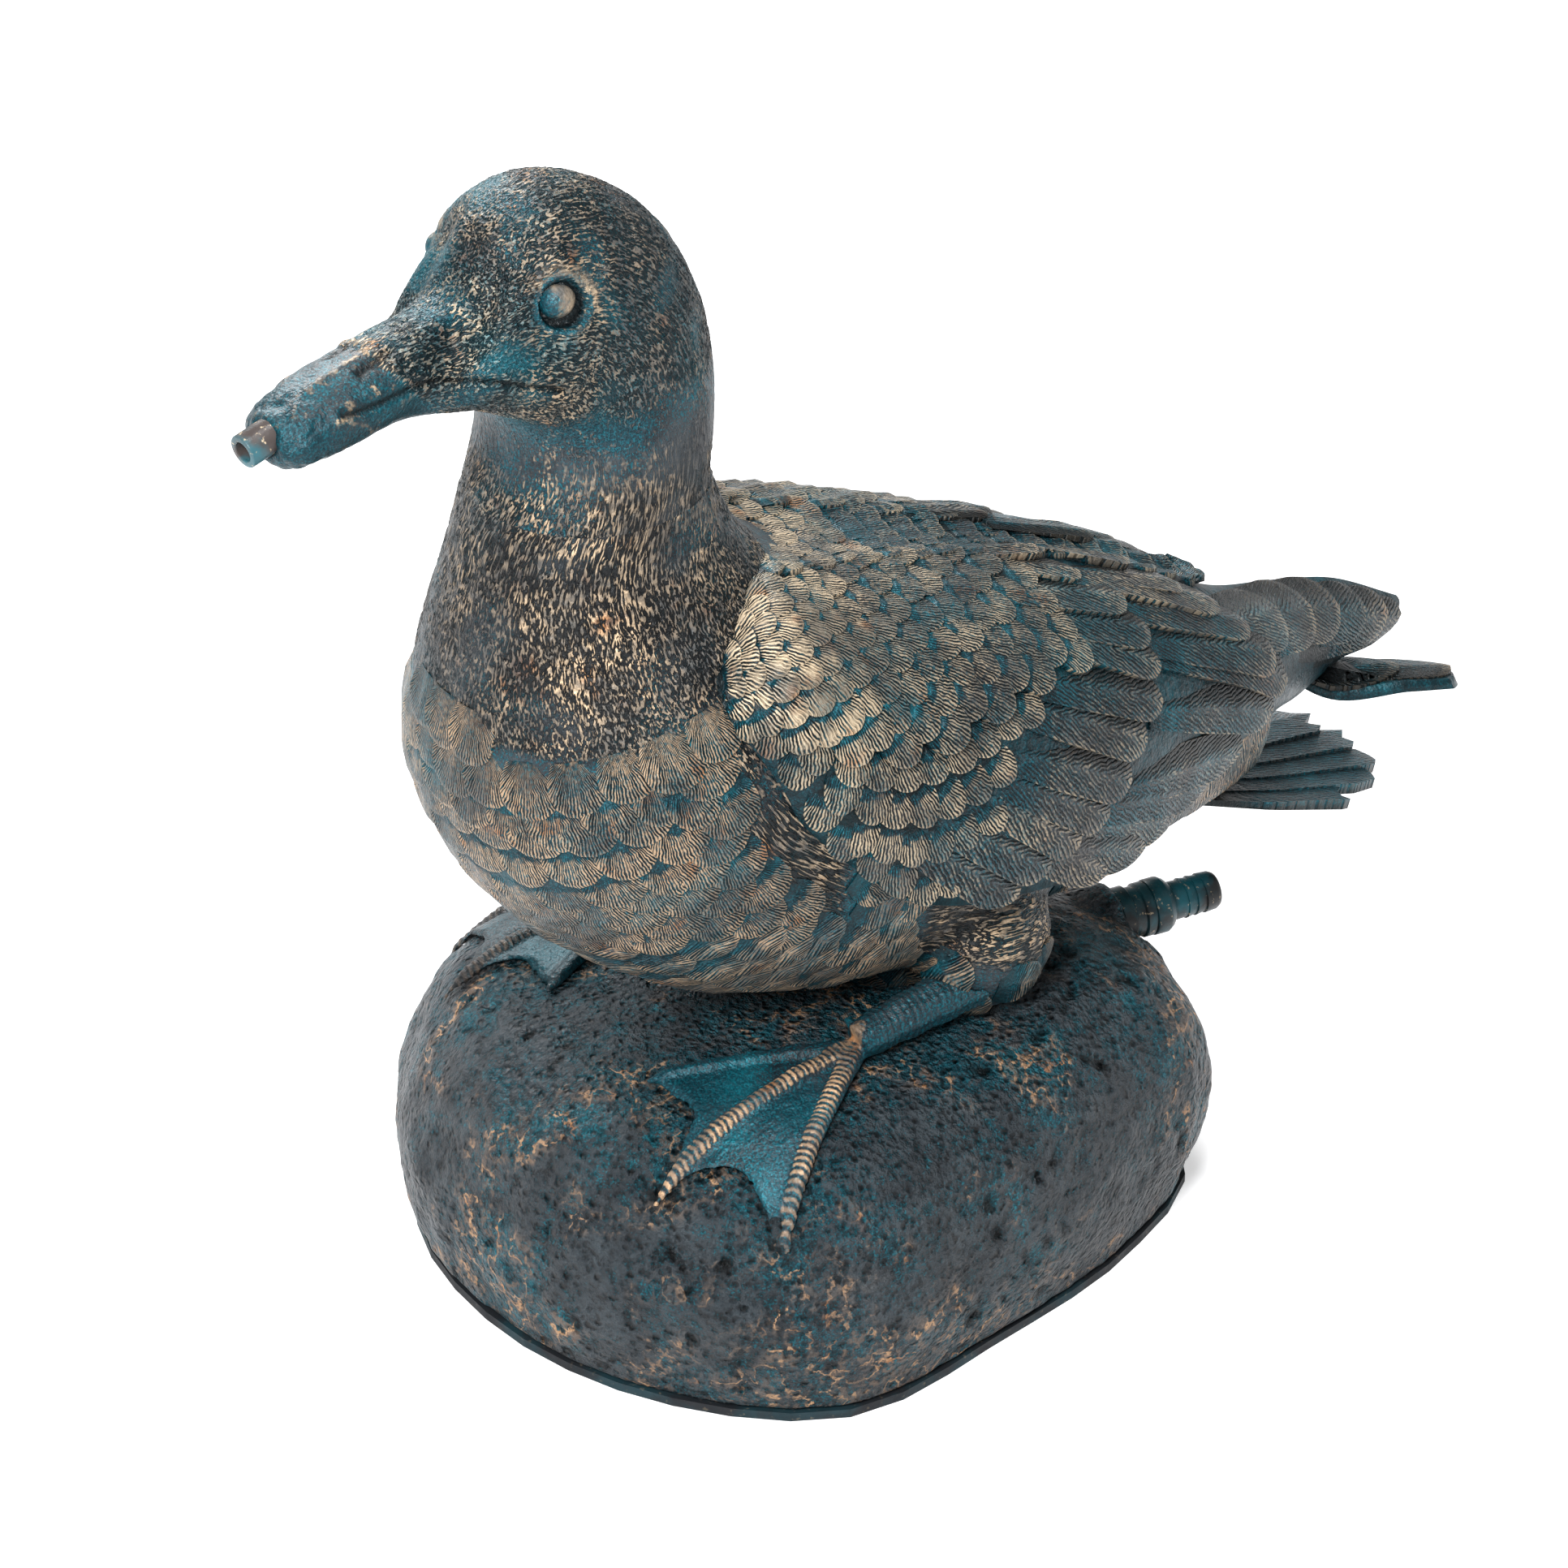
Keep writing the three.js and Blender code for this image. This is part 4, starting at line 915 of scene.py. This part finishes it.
wing = {
    # top, bulge and bottom of each station, and the wing's thickness there
    "stations": [
        ((52, -66, 274), (68, -80, 264), (66, -72, 242), 14),
        ((38, -44, 285), (90, -60, 280), (83, -48, 206), 20),
        ((26, -10, 274), (101, -20, 269), (89, -14, 176), 20),
        ((20, 30, 262), (101, 26, 256), (87, 30, 163), 18),
        ((14, 78, 245), (88, 78, 234), (73, 80, 152), 16),
        ((10, 126, 223), (68, 128, 212), (52, 130, 154), 14)],
    "leftEnd": [
        ((5, 168, 199), (46, 172, 191), (36, 174, 158), 10),
        ((-8, 208, 182), (22, 210, 171), (13, 206, 144), 7),
        ((-18, 246, 166), (0, 244, 155), (-4, 238, 139), 6),
        ((-25, 284, 143), (-22, 288, 138), (-17, 269, 136), 5)],
    "rightEnd": [
        ((8, 168, 197), (44, 172, 190), (36, 174, 158), 10),
        ((6, 204, 157), (32, 206, 160), (28, 202, 148), 8),
        ((-4, 228, 136), (14, 228, 137), (20, 224, 134), 6),
        ((-17, 254, 136), (0, 252, 134), (12, 248, 131), 5),
        ((-21, 272, 133), (-15, 284, 130), (-2, 280, 126), 5)],
    "across": 20, "perStation": 8, "hub": (-35, 0, -35), "thinner": 0.8, "seeds": {1: 4, -1: 9},
    # the step between upper and lower coverts, by station
    "step": ([0, 0.8, 1.2, 2.05, 2.6, 3.0, 3.4, 4], [0.76, 0.70, 0.70, 0.64, 0.58, 0.52, 0.46, 0.4]),
    # how much of an upper covert shows, by station
    "shown": ([0, 0.6, 1.5, 3.4], [6.2, 8, 10.5, 12.5]),
    # tips of the long feathers: station, place across; length and width, and those of the short inner ones
    "primaries": {
        **longFeather, "lift": 2.8, "round": 0.15, "shingle": 1.3, "hidden": 0.05, "base": 0.8, "tone": 0.27,
        "size": (88, 19), "inner": (55, 15), "lean": 0.35,
        "tips": [(5.0, 0.0), (5.35, 0.1), (5.65, 0.2), (5.9, 0.32), (6.05, 0.55), (6.15, 0.75), (5.9, 0.9),
                 (5.45, 0.98), (5.05, 1.0), (4.6, 1.0), (4.2, 1.0), (3.8, 1.0)]},
    "secondaries": {
        **longFeather, "lift": 3.2, "round": 0.17, "shingle": 1.1, "hidden": 0.1, "base": 0.3, "tone": 0.3,
        "size": (72, 18), "inner": (42, 13), "lean": 0.4,
        "tips": [(4.1, 0.0), (4.3, 0.1), (4.55, 0.2), (4.6, 0.33), (4.55, 0.46), (4.45, 0.58), (4.2, 0.68),
                 (4.0, 0.78), (3.75, 0.85), (3.45, 0.9), (3.15, 0.94), (2.85, 0.99)]},
    # the broad feathers at the end, and their tips: station, place across, width
    "broad": {**longFeather, "length": 78, "lift": 3.4, "round": 0.22, "shingle": 1.0, "hidden": 0.45,
              "tone": 0.25},
    "leftTips": [(6.6, 0.24, 30), (7.2, 0.27, 30), (7.8, 0.32, 28), (8.3, 0.38, 26), (8.7, 0.46, 24),
                 (8.98, 0.55, 20)],
    "rightTips": [(6.9, 0.3, 30), (7.7, 0.35, 28), (8.5, 0.4, 26), (9.3, 0.45, 24), (9.98, 0.5, 22)],
    "lower": {**roundFeather, "length": 22, "width": 13.5, "lift": 2.7, "shingle": 0.2, "hidden": 0.45,
              "tone": 0.6},
    "lowerRows": 4, "lowerDip": ([0.4, 1.5, 3.4], [1.15, 0.95, 0.5]),
    "upper": {**roundFeather, "lift": 2.8, "shingle": 0.25, "hidden": 0.5},
    "upperFrom": 0.28, "upperTo": 3.9, "upperDip": ([0.5, 3], [0.75, 0.4]),
    "bright": ((-48, 32), (262, 26)),        # the wrist's gold patch: middle and reach in y and z
}


def wingCurves(end):
    stations = wing["stations"] + end

    def curve(k):
        knots = np.array([s[k] for s in stations], float)
        padded = np.vstack([2 * knots[0] - knots[1], knots, 2 * knots[-1] - knots[-2]])

        def point(station):
            i = min(max(int(station), 0), len(knots) - 2)
            t = station - i
            a, b, c, d = padded[i:i + 4]
            lower = 2 * b + (c - a) * t + (2 * a - 5 * b + 4 * c - d) * t * t
            return 0.5 * (lower + (3 * b - a - 3 * c + d) * t ** 3)
        return point
    return [curve(k) for k in range(3)], len(stations) - 1


# The wing under its feathers: its outer surface, and a closed shell
def wingShell(at, last, thick):
    bm = bmesh.new()
    bmesh.ops.create_grid(bm, x_segments=wing["across"], y_segments=last * wing["perStation"], size=1)
    spot = bm.verts.layers.float.new("station")
    for vert in bm.verts:
        station, v = (vert.co.y + 1) / 2 * last, (vert.co.x + 1) / 2
        vert.co = Vector(at(station, v)) * mm
        vert[spot] = station
    bmesh.ops.recalc_face_normals(bm, faces=bm.faces)
    middle = Vector(at(2, 0.5)) * mm
    nearest = min(bm.faces, key=lambda f: (f.calc_center_median() - middle).length)
    if nearest.normal.x < 0:
        bmesh.ops.reverse_faces(bm, faces=bm.faces)
    surface = BVHTree.FromBMesh(bm)
    for vert in doubled(bm):
        hub = Vector(at(vert[spot], 0.5) + np.array(wing["hub"])) * mm
        depth = np.interp(vert[spot], range(last + 1), thick) * wing["thinner"] * mm
        vert.co += (hub - vert.co).normalized() * depth
    bm.verts.layers.float.remove(spot)
    bmesh.ops.recalc_face_normals(bm, faces=bm.faces)
    smoothFaces(bm)
    return surface, meshFrom(bm, "shell")


def makeWing(side, end, tips):
    lines, last = wingCurves(end)

    def at(station, v):
        station = min(station, last)
        top, bulge, bottom = [line(station) for line in lines]
        return (1 - v) ** 2 * top + 2 * v * (1 - v) * bulge + v * v * bottom

    surface, shell = wingShell(at, last, [s[3] for s in wing["stations"] + end])
    template = bladeTemplate(8, 7)
    blades = []
    rng = random.Random(wing["seeds"][side])

    # lays a feather by its tip; dip is how far it points down from the wing's length
    def lay(station, v, dip, form, **own):
        form = {**form, **own}
        v = min(max(v, 0), 1)
        tip = Vector(at(station, v))
        ahead = Vector(at(station, v) - at(station - 0.1, v)).normalized()
        down = Vector(at(station, min(v + 0.03, 1)) - at(station, max(v - 0.03, 0)))
        down = (down - ahead * down.dot(ahead)).normalized()
        dip += rng.uniform(-0.08, 0.08)
        length = form["length"] * rng.uniform(0.93, 1.08)
        root = tip - (ahead * math.cos(dip) + down * math.sin(dip)) * length
        form["tone"] += rng.uniform(-0.12, 0.12)
        form["width"] *= rng.uniform(0.94, 1.08)
        form["lift"] *= rng.uniform(0.85, 1.15)
        blades.append(layBlade(template[1], surface, root, tip, form))

    def reachAt(station):
        line = [at(station, v) for v in np.linspace(0, 1, 13)]
        return sum(np.linalg.norm(b - a) for a, b in zip(line, line[1:]))

    def stride(station):
        return np.linalg.norm(at(station + 0.1, 0.5) - at(station, 0.5)) / 0.1

    # the broad feathers at the end lie lowest, then primaries, secondaries and coverts
    for station, v, width in reversed(tips):
        lay(station, v, 0.0, wing["broad"], width=width)
    for form in (wing["primaries"], wing["secondaries"]):
        for station, v in reversed(form["tips"]):
            length, width = form["size"] if v > 0.15 else form["inner"]
            lay(station, v, 0.12 + form["lean"] * v, form, length=length, width=width)
    lower = wing["lower"]
    for row in range(wing["lowerRows"]):
        station = 0.45 + 0.22 * row
        while station < 3.45 - 0.35 * row:
            v = np.interp(station, *wing["step"]) + 0.07 + 0.095 * row
            lay(station, v, np.interp(station, *wing["lowerDip"]), lower)
            station += 0.9 * lower["width"] / stride(station)
    station, row = wing["upperFrom"], 0
    (brightY, reachY), (brightZ, reachZ) = wing["bright"]
    while station < wing["upperTo"]:
        limit = np.interp(station, *wing["step"])
        shown = np.interp(station, *wing["shown"])
        count = max(round(reachAt(station) * limit / (1.2 * shown)), 4)
        for k in range(count + 1):
            v = limit * (k + 0.5 * (row % 2)) / count
            if v > limit * 1.02:
                continue
            down = v / limit
            place = at(station, v)
            bright = math.exp(-(((place[1] - brightY) / reachY) ** 2 + ((place[2] - brightZ) / reachZ) ** 2))
            dip = 0.12 + down * np.interp(station, *wing["upperDip"])
            lay(station, v, dip, wing["upper"], length=2.1 * shown, width=1.42 * shown,
                base=1.2 * float(ease(down, 0.6, 1.0)), tone=0.5 + 0.5 * bright)
        station += shown / stride(station)
        row += 1
    name = "left_wing" if side > 0 else "right_wing"
    mesh = plumage(name + "_feathers", template, blades, flipped=side < 0)
    if side < 0:
        setPoints(shell, pointsOf(shell) * np.array([-1, 1, 1]))
        shell.flip_normals()
    skin = surfaceOf(shell)
    backed(mesh, shell)
    piece(name + "_feathers", mesh, "feather_resin", bladePaint, name)
    return skin


# The back between the wings: a low saddle of round feathers
mantle = {
    "first": 0.7, "last": 5.7, "hollow": 3, "thickness": 9, "rows": 19, "count": 6, "goldRows": 6, "seed": 21,
    "length": 22, "width": 16, "lift": 3.0,
    "feather": {"round": 0.36, "neck": 0.7, "cup": 0.8, "quill": 0.3, "shingle": 0.2, "sink": 1.0,
                "fan": True, "hidden": 0.5},
}


def makeMantle():
    (topLine, _, _), _ = wingCurves(wing["leftEnd"])

    def at(station, w):
        p = topLine(station)
        return np.array([p[0] * w, p[1], p[2] - mantle["hollow"] * (1 - w * w)])

    first, last = mantle["first"], mantle["last"]
    bm = bmesh.new()
    bmesh.ops.create_grid(bm, x_segments=12, y_segments=40, size=1)
    for vert in bm.verts:
        vert.co = Vector(at(first + (last - first) * (vert.co.y + 1) / 2, vert.co.x)) * mm
    surface = BVHTree.FromBMesh(bm)
    bmesh.ops.translate(bm, verts=doubled(bm), vec=(0, 0, -mantle["thickness"] * mm))
    bmesh.ops.recalc_face_normals(bm, faces=bm.faces)
    smoothFaces(bm)
    sheet = meshFrom(bm, "saddle")
    template = bladeTemplate(8, 6)
    blades = []
    rng = random.Random(mantle["seed"])
    for row in range(mantle["rows"]):
        station = first + (last - first) * row / (mantle["rows"] - 1)
        for k in range(mantle["count"] + row % 2):
            w = -1 + 2 * (k + (0 if row % 2 else 0.5)) / mantle["count"]
            root = Vector(at(station, w * 0.97))
            way = Vector(at(station + 0.1, w)) - root
            form = {
                **mantle["feather"], "up": Vector((0.12 * w, 0.3, 1)).normalized(),
                "width": mantle["width"] * rng.uniform(0.9, 1.1),
                "lift": mantle["lift"] * rng.uniform(0.85, 1.15),
                "tone": 0.25 + 0.4 * (row < mantle["goldRows"]) + rng.uniform(-0.15, 0.1)}
            tip = root + way.normalized() * mantle["length"] * rng.uniform(0.92, 1.1)
            blades.append(layBlade(template[1], surface, root, tip, form))
    mesh = plumage("mantle_feathers", template, blades)
    backed(mesh, sheet)
    piece("mantle_feathers", mesh, "feather_resin", bladePaint)


tail = {
    "root": (2, 148, 125), "tip": (-13, 266, 86), "count": 5, "spread": 13.6, "step": 7.5, "tilt": 1.8,
    # outer feathers are shorter, those on one side more
    "shorter": 0.04, "skew": 0.9,
    # the tail's feathers are painted darker all over, as shade
    "feather": {"width": 27, "round": 0.1, "neck": 0.6, "lift": 2.2, "cup": 0.5, "quill": 0.8, "shingle": 1.2,
                "sink": 2, "tone": 0.1, "ragged": 0.16, "hidden": 0.3, "fan": False, "dim": 0.7},
}


def makeTail():
    template = bladeTemplate(8, 12)
    a, b = Vector(tail["root"]), Vector(tail["tip"])
    side = (b - a).cross(Vector((0, 0, 1))).normalized()
    blades = []
    for i in range(tail["count"]):
        k = i - (tail["count"] - 1) / 2
        start = a + side * k * tail["step"]
        tip = b + side * k * tail["spread"] - Vector((0, 0, tail["tilt"] * k))
        tip = tip.lerp(start, tail["shorter"] * (k + tail["skew"]) ** 2)
        up = side.cross((tip - start).normalized()).normalized()
        form = {**tail["feather"], "up": up if up.z > 0 else -up, "seed": i * 3.1}
        blades.append(layBlade(template[1], None, start, tip, form))
    mesh = plumage("tail_feathers", template, blades)
    piece("tail_feathers", mesh, "feather_resin", tailPaint, "tail_fan")


# Belly: low feathers in rings about the body's line
belly = {
    "from": 118, "end": 12, "step": 6.3, "sides": 26, "seed": 11, "length": 19, "width": 20, "lift": 1.9,
    "clear": 0.7, "overFur": 9, "lowest": 108, "fanAbove": 180, "tone": 0.55,
    "feather": {"round": 0.42, "neck": 0.75, "cup": 0.5, "quill": 0.0, "shingle": 0.4, "sink": 1.2,
                "slant": 0.3, "coarse": 1.3, "shade": 0.3},
    # no feather covers the first row, so its root shows
    "others": {"hidden": 0.3, "base": 1.0}, "firstRow": {"hidden": -0.3, "base": 0.7},
}


def inTuft(p):
    return abs(p.x) > body["tuftSide"] and tuftAt(p.y, p.z) > 0.4


def makeBelly(bodySurface, wingSurfaces):
    template = bladeTemplate(6, 5)
    blades = []
    rng = random.Random(belly["seed"])
    rows = np.arange(belly["from"], flowS[-1] - belly["end"], belly["step"])
    for row, s in enumerate(rows):
        i = int(np.searchsorted(flowS, s))
        centre = Vector((0, *flowPlace[i]))
        way = Vector((0, *flowWay[i]))
        up = Vector((0, -way.z, way.y))
        for k in range(belly["sides"]):
            angle = 2 * math.pi * (k + 0.5 * (row % 2)) / belly["sides"]
            if math.cos(angle) > 0.75:
                continue
            out = Vector((math.sin(angle), 0, 0)) + up * math.cos(angle)
            hit, normal, _, _ = bodySurface.ray_cast((centre + out * 200) * mm, -out)
            if hit is None:
                continue
            p = hit / mm
            if p.z > furEdge(p.y) + belly["overFur"] or p.z < belly["lowest"] or inTuft(p):
                continue
            over = [cover.ray_cast(hit - normal * 2 * mm, normal, 60 * mm)[0] for cover in wingSurfaces]
            if any(place is not None for place in over):
                continue
            ahead = (way - normal * way.dot(normal)).normalized()
            if inTuft(p + ahead * belly["length"] * belly["clear"]):
                continue
            first = p.z > furEdge(p.y) - 5
            form = {
                **belly["feather"], **belly["firstRow" if first else "others"], "up": normal,
                "width": belly["width"] * rng.uniform(0.9, 1.15),
                "lift": belly["lift"] * rng.uniform(0.8, 1.2),
                "tone": belly["tone"] + rng.uniform(-0.08, 0.08), "fan": p.z > belly["fanAbove"]}
            tip = p + ahead * belly["length"] * rng.uniform(0.9, 1.12)
            blades.append(layBlade(template[1], bodySurface, p, tip, form))
    mesh = plumage("body_feathers", template, blades)
    piece("body_feathers", mesh, "feather_resin", bellyPaint)


rock = {
    "voxel": 2.3, "rounds": 10, "broad": 0.9, "lumps": 0.5, "calmLumps": 0.4, "fine": 0.45, "pits": 3.4,
    "pocket": (60, 95, 70),        # half width, height and radius of the hidden pocket, which stays plain
}


def distanceFrom(points, node):
    surface = surfaceOf(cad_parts[node].data)
    far = [surface.find_nearest(Vector(p) * mm, 12 * mm)[3] for p in points]
    return np.array([12.0 if d is None else d / mm for d in far])


def makeRock():
    mesh = castBlank(["rock_casting"], rock["voxel"], rock["rounds"])
    points = pointsOf(mesh) / mm
    x, y, z = points.T
    broad, lumps, fine = noiseAt(points, 26, 2), noiseAt(points, 9, 4), noiseAt(points, 4.2, 8)
    pits = -np.maximum(0, noiseAt(points, 6.5, 6) - 0.22) * rock["pits"]
    calm = ease(noiseAt(points, 48, 7), -0.25, 0.2)
    rise = rock["broad"] * broad + (rock["lumps"] + rock["calmLumps"] * calm) * lumps
    rise += pits * calm + rock["fine"] * fine
    halfWidth, height, radius = rock["pocket"]
    inner = (np.abs(x) < halfWidth) & (z < height) & (np.hypot(x, y) < radius)
    rise = np.where(inner, 0, rise) * ease(z, 3, 9)
    # no relief under the feet
    gap = np.minimum.reduce([distanceFrom(points, name) for name in ("left_foot", "right_foot")])
    rise = rise * ease(gap, 1.0, 9.0) - 0.6 * ease(-gap, -6.0, -2.0)
    risen(mesh, points, rise)
    # the last field is painted shade, in the pits and around the feet
    setFields(mesh, raised=np.clip(0.1 + 0.35 * lumps + 0.4 * fine + 0.5 * pits, -0.3, 0.5),
              spray=0.2 + 0.2 * ease(z, 55, 100) + 0.15 * (1 - ease(gap, 2, 14)),
              deep=np.clip(1 + 0.7 * pits * calm, 0.1, 1) * (0.45 + 0.55 * ease(gap, 0.5, 5)))
    piece("boulder", mesh, "stone_resin", stonePaint, "rock_casting")


foot = {
    "voxel": 0.9, "rounds": 7, "ankle": (62, -22), "ring": 2.3, "legRing": 2.6, "legFrom": (-20, -14),
    # each toe's tip, its gold and how far its rings show
    "toes": [((32, -88), 0.12, 0.2), ((68, -108), 1.0, 1.0), ((110, -88), 1.0, 1.0)],
    # light paints the right foot darker all over, as shade
    "left": {"gold": 0.9, "light": 1.0}, "right": {"gold": 0.25, "light": 0.4},
}


def makeFoot(side):
    name = "left" if side > 0 else "right"
    mesh = castBlank([name + "_foot"], foot["voxel"], foot["rounds"])
    points = pointsOf(mesh) / mm
    plan = points[:, :2] * np.array([side, 1])
    ankle = np.array(foot["ankle"])
    rings = np.zeros(len(points))
    onToe = np.zeros(len(points))
    for tip, gold, shown in foot["toes"]:
        d = np.array(tip) - ankle
        length = np.hypot(*d)
        t = np.clip(((plan - ankle) @ d) / length, 0, length)
        near = 1 - ease(np.hypot(*(plan - ankle - np.outer(t / length, d)).T), 2.6, 4.2)
        wave = 0.5 + 0.5 * np.sin(t * 2 * math.pi / foot["ring"])
        rings = np.maximum(rings, near * wave * shown)
        onToe = np.maximum(onToe, near * gold)
    leg = ease(points[:, 1], *foot["legFrom"])
    scale = leg * (0.5 + 0.5 * np.sin(points[:, 1] * 2 * math.pi / foot["legRing"])) * (1 - onToe)
    risen(mesh, points, 0.35 * rings + 0.3 * scale + 0.12 * noiseAt(points, 4, 5))
    # painted shade between the rings of the toes and the scales of the leg, times the foot's light
    deep = np.clip(1 - 0.5 * onToe * (1 - rings) - 0.4 * leg * (1 - scale), 0.2, 1)
    setFields(mesh, gilt=np.clip(0.1 + onToe, 0, 1) * foot[name]["gold"], deep=deep * foot[name]["light"],
              raised=np.clip(0.1 + 0.3 * onToe + 0.5 * rings * onToe + 0.3 * scale, 0, 1))
    piece(name + "_webbed_foot", mesh, "foot_resin", footPaint, name + "_foot")


# Water fittings, spun about their axes

def spun(name, form):
    bm = bmesh.new()
    verts = [bm.verts.new((r * mm, 0, s * mm)) for s, r in form["rings"]]
    edges = [bm.edges.new((a, b)) for a, b in zip(verts, verts[1:] + verts[:1])]
    bmesh.ops.spin(bm, geom=verts + edges, cent=(0, 0, 0), axis=(0, 0, 1), angle=2 * math.pi,
                   steps=form["steps"], use_merge=True)
    bmesh.ops.remove_doubles(bm, verts=bm.verts, dist=0.001 * mm)
    bmesh.ops.recalc_face_normals(bm, faces=bm.faces)
    smoothFaces(bm)
    for edge in bm.edges:
        edge.smooth = edge.calc_face_angle(0) < 0.6
    turn = Vector(form["axis"]).to_track_quat("Z", "Y").to_matrix().to_4x4()
    bmesh.ops.transform(bm, matrix=turn, verts=bm.verts)
    bmesh.ops.translate(bm, verts=bm.verts, vec=Vector(form["origin"]) * mm)
    return meshFrom(bm, name)


# Rings are given by their place along the axis and their radius
connector = {
    "origin": (17.46, 121.73, 81.36), "axis": (0.1838, 0.9821, 0.0401), "steps": 64,
    "rings": [(-59, 4.2), (-59, 5.1), (-44, 5.5), (-44, 7.6), (0.3, 7.6), (0.3, 10.2), (0.6, 10.5),
              (4.9, 10.5), (5.2, 10.2), (5.6, 9.4), (9.2, 9.3), (9.4, 9.8), (9.8, 10.1), (12.8, 10.1),
              (13.0, 9.5), (13.4, 9.5), (13.6, 10.2), (14.0, 10.4), (18.8, 10.4), (19.3, 10.1), (20.8, 9.2),
              (22.4, 7.2), (27.2, 7.0), (27.4, 7.5), (31.0, 6.8), (31.1, 7.4), (34.8, 6.8), (34.9, 7.4),
              (39.2, 7.1), (40.7, 6.3), (41, 5.9), (41, 4.5), (40.7, 4.2)],
}
spout = {
    "origin": (22.75, -215.0, 379.8), "axis": (0.1705, -0.9667, -0.1908), "steps": 48,
    "rings": [(-36, 3.3), (-36, 5.5), (6.6, 5.5), (6.9, 5.3), (7, 5.0), (7, 3.6), (6.7, 3.3)],
}


def makeFittings():
    piece("stepped_connector", spun("connector", connector), "black_plastic", blackMoulding, "hose_connector")
    piece("spout_end", spun("spout", spout), "grey_plastic", tubeGrey, "spout_tube")


# Finishes of the CAD nodes that stay in view
def finishNodes():
    finishes = {
        "base_plate": plateMoulding, "connector_gasket": sealRubber, "connector_locknut": blackMoulding,
        "inner_hose": clearHose, "hose_clip": zincCoat}
    for name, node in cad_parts.items():
        steel = name.startswith(("base_screw", "left_stud", "right_stud"))
        steel = steel or name.endswith(("_washer", "_nut"))
        finish = zincCoat if steel else finishes.get(name)
        if finish:
            for slot in node.material_slots:
                slot.material = finish


bodySurface = makeBody()
makeHead()
makeEyes()
print("castings done")
leftSurface = makeWing(1, wing["leftEnd"], wing["leftTips"])
rightSurface = makeWing(-1, wing["rightEnd"], wing["rightTips"])
makeMantle()
makeTail()
print("wings and tail done")
makeBelly(bodySurface, [leftSurface, rightSurface])
makeRock()
makeFoot(1)
makeFoot(-1)
makeFittings()
finishNodes()
print("all pieces done")
